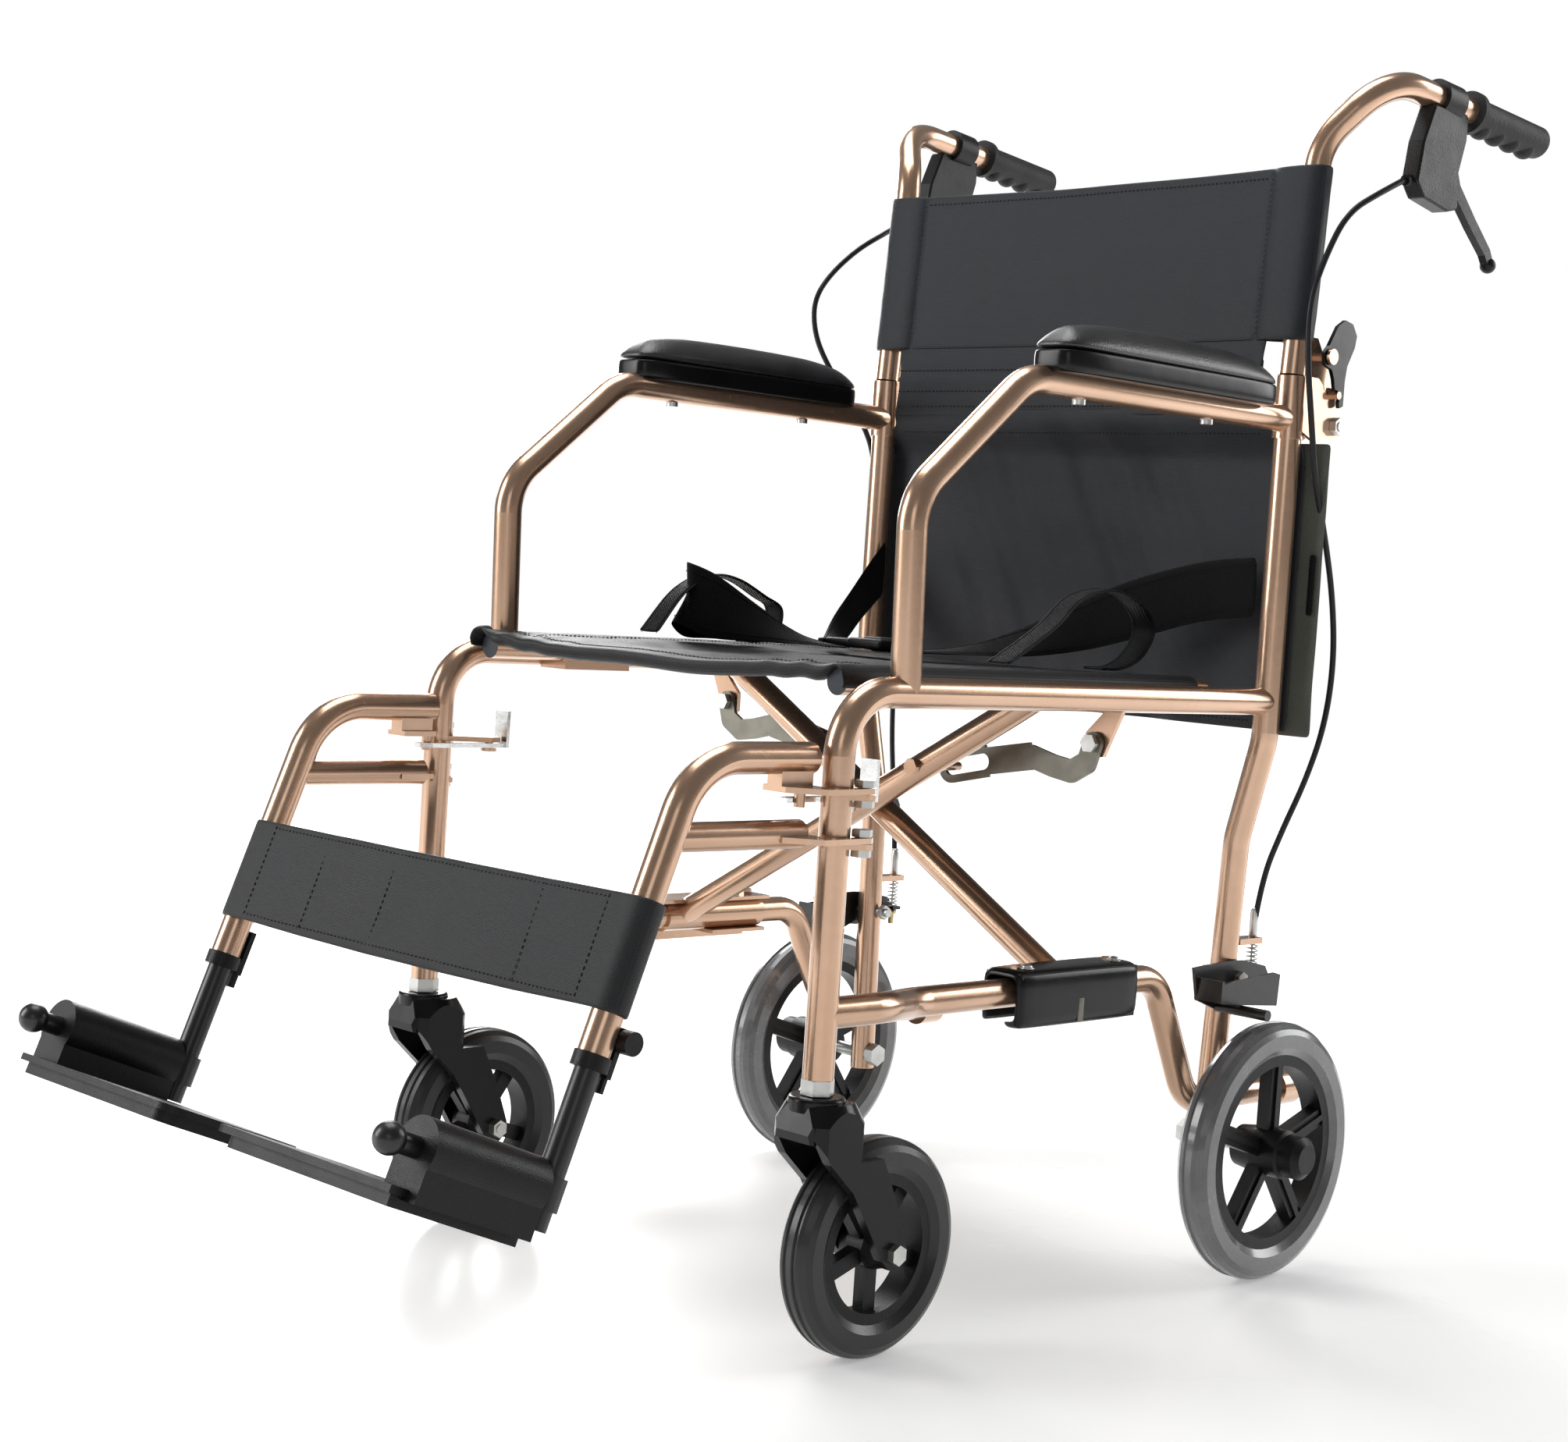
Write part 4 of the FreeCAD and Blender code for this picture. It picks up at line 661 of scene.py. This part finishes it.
NEAR_LOOP = [(150, 248, 489), (150, 276, 504), (150, 304, 521), (150, 332, 543), (150, 373, 551),
             (150, 409, 540),
             (150, 426, 520), (150, 414, 499), (150, 392, 489), (150, 366, 487.6)]
FAR_LOOP = [(-150, 153, 492), (-150, 187, 527), (-150, 220, 542), (-150, 250, 540), (-150, 281, 527),
            (-150, 299, 518), (-150, 296, 500), (-150, 282, 490), (-150, 262, 487.6)]
straps = []
for name, loop, wide, lean in (("near_lift_loop", NEAR_LOOP, 13, 5), ("far_lift_loop", FAR_LOOP, 12.5, -4)):
    inner = [(x - wide + lean * (z - 489) / 60, y + (z - 489) * 0.03, z) for x, y, z in loop]
    outer = [(x + wide + lean * (z - 489) / 60, y - (z - 489) * 0.05, z) for x, y, z in loop]
    straps.append(strap(name, inner, outer))

NEAR_TOP = [(212, 494, 587), (166, 484, 581), (117, 469, 566), (85, 455, 551), (27, 424, 516),
            (-14, 400, 497),
            (-40, 374, 490), (-66, 330, 489)]
NEAR_LOW = [(212, 495, 537), (167, 484, 530), (123, 467, 515), (80, 446, 500), (40, 416, 491), (6, 384, 489),
            (-22, 346, 488.6), (-40, 306, 488.6)]
straps.append(strap("near_belt", NEAR_TOP, NEAR_LOW, 1.8))
FAR_TOP = [(-207, 495, 587), (-204, 470, 563), (-196, 440, 537), (-184, 408, 514), (-160, 372, 496),
           (-130, 338, 491), (-104, 318, 490.5)]
FAR_LOW = [(-207, 495, 535), (-200, 462, 512), (-184, 430, 496), (-160, 398, 491), (-130, 366, 489.6),
           (-104, 342, 489.2), (-76, 322, 489)]
straps.append(strap("far_belt", FAR_TOP, FAR_LOW, 1.8))
FLAP_A = [(-98, 318, 489.5), (-106, 286, 497), (-118, 246, 520), (-134, 212, 543), (-148, 193, 552),
          (-156, 199, 551), (-155, 222, 542), (-151, 256, 519), (-146, 290, 492)]
FLAP_B = [(-60, 300, 489.2), (-76, 268, 489), (-102, 236, 489), (-130, 204, 489.6), (-148, 184, 500),
          (-157, 184, 499), (-158, 200, 489), (-154, 226, 488.4), (-148, 256, 488.4)]
straps.append(strap("belt_tail", FLAP_A, FLAP_B, 1.7))

buckle_parts = [solid_box("buckle_body", (-62, 298, 489), (-22, 340, 498), PLASTIC, 3.2, 5),
                solid_box("buckle_tongue", (-92, 303, 489.5), (-60, 335, 496.5), PLASTIC, 2.6, 4),
                solid_box("buckle_button", (-52, 309, 496), (-32, 329, 499.4), GREY_PLASTIC, 1.4, 4),
                solid_box("buckle_bar", (-98, 300, 489.5), (-92, 338, 495.5), PLASTIC, 1.8, 4)]
belt = join("belt_set", straps + buckle_parts)
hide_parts("seat_straps")
with_fold(belt, "seat")


# ---------------------------------------------------------------- back, upper part

POST_X, POST_R = 226.0, 11.1
UPPER_LOW, SLEEVE_LOW, UPPER_TOP = 703.0, 764.0, 907.0


def post_y(z):
    """Middle of the push handle's upright at this height."""
    return 502 + max(0.0, z - 736) * 13 / 189.5


def back_sag(x, z):
    """How far the cloth hangs behind the line between the posts, with its soft folds."""
    s = 1 - (x / 205.0) ** 2
    t = min(max((z - UPPER_LOW) / (UPPER_TOP - UPPER_LOW), 0), 1)
    folds = noise.noise(Vector((x * 0.013, z * 0.01, 1.7))) * 2.6
    folds += noise.noise(Vector((x * 0.05, z * 0.012, 5.0))) * 0.8
    dent = 1.3 * math.exp(-((abs(x) - 192.5) / 2.6) ** 2)
    return max(s, 0) * (6.5 + 3 * t + folds) + dent


sleeve_r = POST_R + 2.3


def upper_row(z, how_wide):
    """One level of the upper back: behind one post, round it, across the front, and round the other."""
    yc = post_y(z)
    seam_steps = [188, 190.5, 192.5, 194.5, 197]
    steps = [-x for x in reversed(seam_steps)] + [-180 + k * 10 for k in range(37)] + seam_steps
    flat = [(x, yc - sleeve_r + 2.6 * ease((203 - abs(x)) / 12) + back_sag(x, z)) for x in steps]
    side = []
    for a in (90, 62, 34, 6, -22, -50, -78):
        turn = math.radians(a)
        side.append((POST_X + sleeve_r * math.cos(turn), yc + sleeve_r * math.sin(turn)))
    ends = [(193, yc - 5.2), (200, yc + 1.0), (212, yc + 9.5)] + side
    ends += [(214, yc - sleeve_r + 0.3), (205, yc - sleeve_r)]
    return ([(-x, y) for x, y in ends] + flat + ends[::-1]) if how_wide else flat


rows = []
for k in range(25):
    z = SLEEVE_LOW + (UPPER_TOP - SLEEVE_LOW) * k / 24
    line = []
    for x, y in upper_row(z, True):
        bag = 0.7 * noise.noise(Vector((x * 0.02, z * 0.06, 2.0))) if abs(x) > 190 else 0.0
        dip = -2.0 * (1 - (x / 240) ** 2) * (1 if k == 24 else 0)
        line.append(at(x, y + bag, z + dip))
    rows.append(line)
upper = loft("back_upper_cloth", rows, FABRIC)
rows = []
for k in range(12):
    z = UPPER_LOW + (SLEEVE_LOW + 4 - UPPER_LOW) * k / 11
    line = []
    edge = 205 - 3 * math.sin(math.pi * k / 11)
    for j in range(45):
        x = -edge + 2 * edge * j / 44
        tuck = -0.9 * math.exp(-((z - 744) / 2.4) ** 2) - 0.9 * math.exp(-((z - 725) / 2.4) ** 2)
        line.append(at(x, post_y(z) - sleeve_r + 3.6 + back_sag(x, z) - tuck, z))
    rows.append(line)
skirt = loft("back_upper_skirt", rows, FABRIC)
for sheet_part in (upper, skirt):
    bake(sheet_part, ("SOLIDIFY", {"thickness": 2.0 * MM, "offset": 0.0}), ("SUBSURF", {"levels": 1}))
upper = join("back_upper_cover", [upper, skirt])
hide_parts("back_upper")
with_fold(upper, "left_handle")


def on_back(x, z, lift=1.3):
    return at(x, post_y(z) - sleeve_r + 2.6 + back_sag(x, z) - lift, z)


seams = []
for x in (-192.5, 192.5):
    seams.append(stitches("upper_seam", [at(x, post_y(z) - sleeve_r + 2.1, z) for z in range(768, 906, 8)],
                          out=Vector((0, -1, 0))))
for z in (744, 725, 711):
    line = [on_back(-202 + k * 10.1, z, 0.4) for k in range(41)]
    seams.append(stitches("upper_seam", line, out=Vector((0, -1, 0))))
for z in (UPPER_TOP - 9,):
    seams.append(stitches("upper_seam", [on_back(-188 + k * 9.4, z, 1.4) for k in range(41)],
                          out=Vector((0, -1, 0))))
upper_seams = join("back_upper_stitching", seams)
with_fold(upper_seams, "left_handle")


# ---------------------------------------------------------------- back, lower part

LOWER_LOW, LOWER_TOP = 444.0, 708.0
LOWER_Y = 515.6


def lower_y(x, z):
    """The lower cloth: behind the posts, coming forward at the top, with long soft folds."""
    forward = ease((z - 664) / 40) * 20.6
    inside = max(0.0, 1 - (x / 212.0) ** 2) * (1 - 0.55 * ease((z - 664) / 40))
    fan = noise.noise(Vector(((x + (z - 570) * 0.28) * 0.019, z * 0.0042, 4.4))) * 10.5
    fine = noise.noise(Vector(((x + (z - 570) * 0.5) * 0.06, z * 0.011, 9.1))) * 2.4
    cross = noise.noise(Vector((x * 0.008, z * 0.03, 6.3))) * 2.0
    return LOWER_Y - forward + inside * (5.0 + fan + fine + cross)


rows = []
for k in range(54):
    z = LOWER_LOW + (LOWER_TOP - LOWER_LOW) * k / 53
    edge = 236 - 29 * ease((z - 684) / 8)
    rows.append([at(-edge + 2 * edge * j / 72, lower_y(-edge + 2 * edge * j / 72, z), z) for j in range(73)])
lower = loft("back_lower_cover", rows, FABRIC)
bake(lower, ("SOLIDIFY", {"thickness": 1.8 * MM, "offset": 0.0}), ("SUBSURF", {"levels": 1}))
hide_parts("back_lower")
with_fold(lower, "left_frame")

linings, seams = [], []
for mirror in (-1, 1):
    rows = []
    for k in range(34):
        z = 441 + (682 - 441) * k / 33
        sway = 1.6 * noise.noise(Vector((z * 0.02, mirror, 0.3)))
        rows.append([at(mirror * x, 519.4 + 4.4 * ((x - 205) / 50) ** 2 * 0.4 + sway * (x - 205) / 50, z)
                     for x in (203, 212, 222, 232, 242, 250, 256)])
    side = loft("lining", rows, LINING)
    linings.append(bake(side, ("SOLIDIFY", {"thickness": 2.2 * MM, "offset": 0.0}),
                        ("SUBSURF", {"levels": 1})))
    tab = ribbon("tab", [at(mirror * 246, 517.6, z) for z in (541, 560, 578, 591)],
                 [at(mirror * 252, 517.2, z) for z in (541, 560, 578, 591)], 1.6 * MM, BELT, 16)
    linings.append(tab)
    seams.append(stitches("lining_seam", [at(mirror * 252, 521.9, 446 + 8 * k) for k in range(30)],
                          out=Vector((0, 1, 0))))
lining = join("back_lining", linings)
with_fold(lining, "left_frame")
for z in (LOWER_LOW + 7, 688):
    line = [at(-200 + k * 10, lower_y(-200 + k * 10, z) - 1.2, z) for k in range(41)]
    seams.append(stitches("lower_seam", line, out=Vector((0, -1, 0))))
lower_seams = join("back_lower_stitching", seams)
with_fold(lower_seams, "left_frame")


def web_y(x, z):
    """Behind both parts of the back, close to whichever reaches further back."""
    skirt = post_y(z) - sleeve_r + 3.6 + back_sag(x, z)
    low = lower_y(x, min(z, LOWER_TOP))
    return skirt + 3.2 + (max(low, skirt) - skirt + 1.0) * (1 - ease((z - 700) / 14))


# a backing web joins the two parts of the back on each side, stepping from one to the other near the fold-down
# hinge
for side_name, mirror, layer in (("left", 1, 0.0), ("right", -1, 2.6)):
    rows = []
    for k in range(25):
        z = 676 + 74 * k / 24
        rows.append([at(mirror * x, web_y(mirror * x, z) + layer, z)
                     for x in (202, 180, 150, 120, 90, 60, 30, 8, -4)])
    web = loft(side_name + "_back_web", rows, FABRIC)
    bake(web, ("SOLIDIFY", {"thickness": 1.4 * MM, "offset": 0.0}), ("SUBSURF", {"levels": 1}))
    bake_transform(web)


# ---------------------------------------------------------------- calf strap

HANG_X, HANG_R = 214.0, 11.1
HANG_END = Vector((0, -196.2, 233.0))
DOWN = Vector((0, -0.3612, -0.9325))
AHEAD = Vector((0, -0.9325, 0.3612))


def on_hanger(x, along, ahead):
    """x across, along up the hanger tube from its end, ahead of the tube's middle."""
    place = HANG_END - DOWN * along + AHEAD * ahead
    return at(x, place.y, place.z)


calf_r = HANG_R + 2.0
rows = []
for k in range(17):
    t = k / 16
    along = 27 + 77 * t
    line = []
    for a in (100, 70, 40, 10, -20, -50, -80):
        line.append((-HANG_X - calf_r * math.cos(math.radians(a)), -calf_r * math.sin(math.radians(a))))
    front = []
    for j in range(43):
        x = -203 + 406 * j / 42
        inside = max(0.0, 1 - (x / 206.0) ** 2)
        puff = 2.2 * abs(math.sin(math.pi * (x + 206) / 82.4)) ** 0.7
        soft = 2.2 * noise.noise(Vector((x * 0.018, along * 0.025, 7.7)))
        front.append((x, calf_r - 1.2 - inside * (5.5 + soft) + puff * inside))
    whole = line + front + [(-x, h) for x, h in line[::-1]]
    rows.append([on_hanger(x, along - 2.5 * max(0, 1 - (x / 200) ** 2) * (1 - t), h) for x, h in whole])
calf = loft("calf_band", rows, STRAP_FABRIC)
bake(calf, ("SOLIDIFY", {"thickness": 2.0 * MM, "offset": 0.0}), ("SUBSURF", {"levels": 1}))
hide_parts("calf_strap")
with_fold(calf, "right_hanger_body")

seams = []
for x in (-192, -123.6, -41.2, 41.2, 123.6, 192):
    seams.append(stitches("calf_seam", [on_hanger(x, 30 + 6 * k,
                                                  calf_r + 0.2 - 5.5 * max(0, 1 - (x / 206) ** 2))
                                        for k in range(13)], out=AHEAD))
for along in (31.5, 99.5):
    line = []
    for k in range(39):
        x = -190 + 10 * k
        inside = max(0.0, 1 - (x / 206.0) ** 2)
        puff = 2.2 * abs(math.sin(math.pi * (x + 206) / 82.4)) ** 0.7
        soft = 2.2 * noise.noise(Vector((x * 0.018, along * 0.025, 7.7)))
        line.append(on_hanger(x, along, calf_r - 0.1 - inside * (5.5 + soft) + puff * inside))
    seams.append(stitches("calf_seam", line, out=AHEAD))
calf_seams = join("calf_stitching", seams)
with_fold(calf_seams, "right_hanger_body")


# ---------------------------------------------------------------- armrest pads

PAD_FRONT, PAD_BACK, PAD_HALF = 184.0, 452.0, 24.0
PAD_LOW, PAD_EDGE = 705.0, 724.0


def pad_outline(inset, count=64):
    """Plan of the pad: long sides slightly bowed, rounded ends, shrunk by an inset."""
    half_long = (PAD_BACK - PAD_FRONT) / 2 - inset
    half_wide = PAD_HALF - inset
    points = []
    for k in range(count):
        a = 2 * math.pi * k / count
        c, s = math.cos(a), math.sin(a)
        points.append((math.copysign(abs(s) ** (2 / 4.2), s) * half_wide,
                       math.copysign(abs(c) ** (2 / 9.0), c) * half_long))
    return points


def pad_ring(centre_x, inset, z):
    middle = (PAD_FRONT + PAD_BACK) / 2
    return [at(centre_x + x, middle + y, z) for x, y in pad_outline(inset)]


for side_name, mirror in (("left", 1), ("right", -1)):
    cx = mirror * 232.0
    tray = loft("tray", [pad_ring(cx, 5, PAD_LOW), pad_ring(cx, 1.2, PAD_LOW + 1),
                         pad_ring(cx, 0.2, PAD_LOW + 3.5),
                         pad_ring(cx, 0, PAD_LOW + 8), pad_ring(cx, 0, PAD_LOW + 15),
                         pad_ring(cx, 0.5, PAD_LOW + 17),
                         pad_ring(cx, 2.2, PAD_LOW + 18.2)], GLOSS_PLASTIC, closed=True, caps=True)
    crown = []
    for inset, rise in ((2.0, -1.0), (0.9, 0.6), (0.9, 2.4), (2.6, 4.6), (5.5, 7.2), (9.0, 9.6), (13.0, 11.6),
                        (17.0, 12.8), (20.5, 13.4), (22.8, 13.5)):
        ring = []
        middle = (PAD_FRONT + PAD_BACK) / 2
        for x, y in pad_outline(inset * 1.0):
            end = ((y / 134.0) ** 2) ** 1.6
            droop = 1 - 0.42 * end
            ring.append(at(cx + x, middle + y, PAD_EDGE - 0.5 + rise * droop * 1.72 - 0.8 * (y / 134.0)))
        crown.append(ring)
    cushion = loft(side_name + "_pad_cushion", crown, PAD_SKIN, closed=True, caps=True)
    bake(cushion, ("SUBSURF", {"levels": 1}))
    bake(tray, ("SUBSURF", {"levels": 1}))
    tray.name = side_name + "_pad_tray"
    for obj in (tray, cushion):
        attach(obj, side_name + "_frame")
    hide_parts(side_name + "_arm_pad")


# ---------------------------------------------------------------- small parts the CAD leaves plain

def recolour(node, material, low, high):
    """Gives the faces of a node whose middles lie in a box (side-frame millimetres) another material."""
    obj = NODES[node]
    obj.data.materials.append(material)
    slot = len(obj.data.materials) - 1
    a, b = at(*low), at(*high)
    for face in obj.data.polygons:
        c = face.center
        if all(a[k] <= c[k] <= b[k] for k in range(3)):
            face.material_index = slot


for side_name in ("left", "right"):
    x0, x1 = (180, 210) if side_name == "left" else (-210, -180)
    for y0, y1 in ((20, 27.01), (445.9, 452)):
        recolour(side_name + "_seat_tube", CAP_PLASTIC, (x0, y0, 460), (x1, y1, 490))
recolour("left_cross_tube", PLASTIC, (186, 212, 215), (228, 356, 259.4))

for side_name, mirror in (("left", 1), ("right", -1)):
    rail_cap = disc(side_name + "_rail_cap", at(mirror * 206, 594, 137), Vector((0, 1, 0)),
                    [(0, 11.4), (0.6, 13.0), (11.5, 13.0), (14, 12.2), (15.6, 10), (16.2, 6)], PLASTIC)
    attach(rail_cap, side_name + "_frame")

COVER_SECTION = [(188.2, 219.5), (186.8, 223), (186.6, 252), (187.6, 257.6), (190.8, 260.4), (196, 261.2),
                 (216, 261.2), (221.4, 260.4), (224.8, 257.6), (226.0, 252), (226.2, 224), (225.0, 219.8),
                 (221.6, 218.0), (212, 217.6)]
rows = []
for y, shrink in ((211.5, 5.0), (212.2, 2.4), (214.5, 0.8), (219, 0.0), (284, 0.0), (349, 0.0), (353.5, 0.8),
                  (355.8, 2.4), (356.5, 5.0)):
    rows.append([at(206.4 + (x - 206.4) * (1 - shrink / 20), y, 240 + (z - 240) * (1 - shrink / 21))
                 for x, z in COVER_SECTION])
cover = loft("left_brace_cover", rows, GLOSS_PLASTIC)
bake(cover, ("SOLIDIFY", {"thickness": 1.6 * MM, "offset": 0.0}), ("SUBSURF", {"levels": 1}))
window = solid_box("cover_window", (225.6, 281, 219.6), (226.9, 287.5, 238), DARK_STEEL, 0.5, 2)
cover = join("left_brace_cover", [cover, window])
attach(cover, "left_cross")

for y in (231.0, 337.0):
    bolt = join("left_bracket_bolt_%d" % y, [
        disc("washer", at(214, y, 261.6), Vector((0, 0, 1)), [(0, 5.6), (1.0, 5.6), (1.2, 5.0)], ZINC),
        disc("head", at(214, y, 262.6), Vector((0, 0, 1)),
             [(0, 4.4), (1.2, 4.2), (2.2, 3.0), (2.6, 1.4)], ZINC)])
    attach(bolt, "left_cross")


# ---------------------------------------------------------------- floor and light

# a pale floor that also glows with a light of its own: painted light
floor_material = Mat("pale_floor_painted_glow", Specular_IOR_Level=0.4, Emission_Color=(1, 1, 1, 1), Emission_Strength=0.3)
shade = floor_material.noise(1.6, 5)
floor_material.colour(floor_material.ramp(shade, [(0.3, (0.80, 0.795, 0.785)), (0.7, (0.88, 0.875, 0.87))]))
floor_material.rough(floor_material.spread(shade, 0.22, 0.34))
# the floor glows, weakly near the chair and fully away from it: painted light, so the floor is painted darker
# round the chair
reach = floor_material.n.new("ShaderNodeVectorMath")
reach.operation = "LENGTH"
floor_material.link(floor_material.coords, reach.inputs[0])
painted_floor_glow = floor_material.n.new("ShaderNodeMapRange")
painted_floor_glow.interpolation_type = "SMOOTHSTEP"
painted_floor_glow.inputs["From Min"].default_value = 0.7
painted_floor_glow.inputs["From Max"].default_value = 2.6
painted_floor_glow.inputs["To Min"].default_value = 0.3
painted_floor_glow.inputs["To Max"].default_value = 1.0
floor_material.link(reach.outputs["Value"], painted_floor_glow.inputs["Value"])
floor_material.link(painted_floor_glow.outputs["Result"], floor_material.bsdf.inputs["Emission Strength"])
FLOOR_HALF = 9.0
floor_corners = [(x * FLOOR_HALF, y * FLOOR_HALF, 0) for x, y in ((-1, -1), (1, -1), (1, 1), (-1, 1))]
floor = mesh_object("floor", floor_corners, [(0, 1, 2, 3)], floor_material.m, False)

world = bpy.data.worlds.new("studio")
bpy.context.scene.world = world
world.use_nodes = True
sky = world.node_tree
backdrop, room = sky.nodes["Background"], sky.nodes.new("ShaderNodeBackground")
choice, rays = sky.nodes.new("ShaderNodeMixShader"), sky.nodes.new("ShaderNodeLightPath")
backdrop.inputs["Color"].default_value = (1.0, 1.0, 1.0, 1)
room.inputs["Color"].default_value = (0.96, 0.98, 1.0, 1)
room.inputs["Strength"].default_value = 0.2
sky.links.new(rays.outputs["Is Camera Ray"], choice.inputs["Fac"])
sky.links.new(room.outputs[0], choice.inputs[1])
sky.links.new(backdrop.outputs[0], choice.inputs[2])
sky.links.new(choice.outputs[0], sky.nodes["World Output"].inputs["Surface"])


def panel(name, place, target, size, power, tint=(1, 1, 1)):
    light = bpy.data.lights.new(name, "AREA")
    light.shape = "RECTANGLE"
    light.size, light.size_y = size
    light.energy = power
    light.color = tint
    obj = bpy.data.objects.new(name, light)
    bpy.context.scene.collection.objects.link(obj)
    way = Vector(place) - Vector(target)
    obj.matrix_world = Matrix.Translation(place) @ way.to_track_quat("Z", "Y").to_matrix().to_4x4()
    return obj


panel("top_softbox", (-0.5, 0.1, 3.2), (0, 0, 0.3), (2.0, 2.0), 58)
panel("key_softbox", (-2.3, -2.7, 1.7), (0, 0, 0.45), (1.5, 2.4), 88)
panel("far_softbox", (-3.0, 1.6, 1.9), (0, 0, 0.6), (1.4, 2.2), 80)
panel("back_softbox", (1.6, 3.2, 1.8), (0, 0, 0.6), (1.4, 2.0), 46)
panel("front_fill", (2.2, -2.4, 1.3), (0, 0, 0.4), (1.2, 1.2), 6)
bpy.context.scene.view_settings.view_transform = "Standard"
bpy.context.scene.view_settings.look = "None"
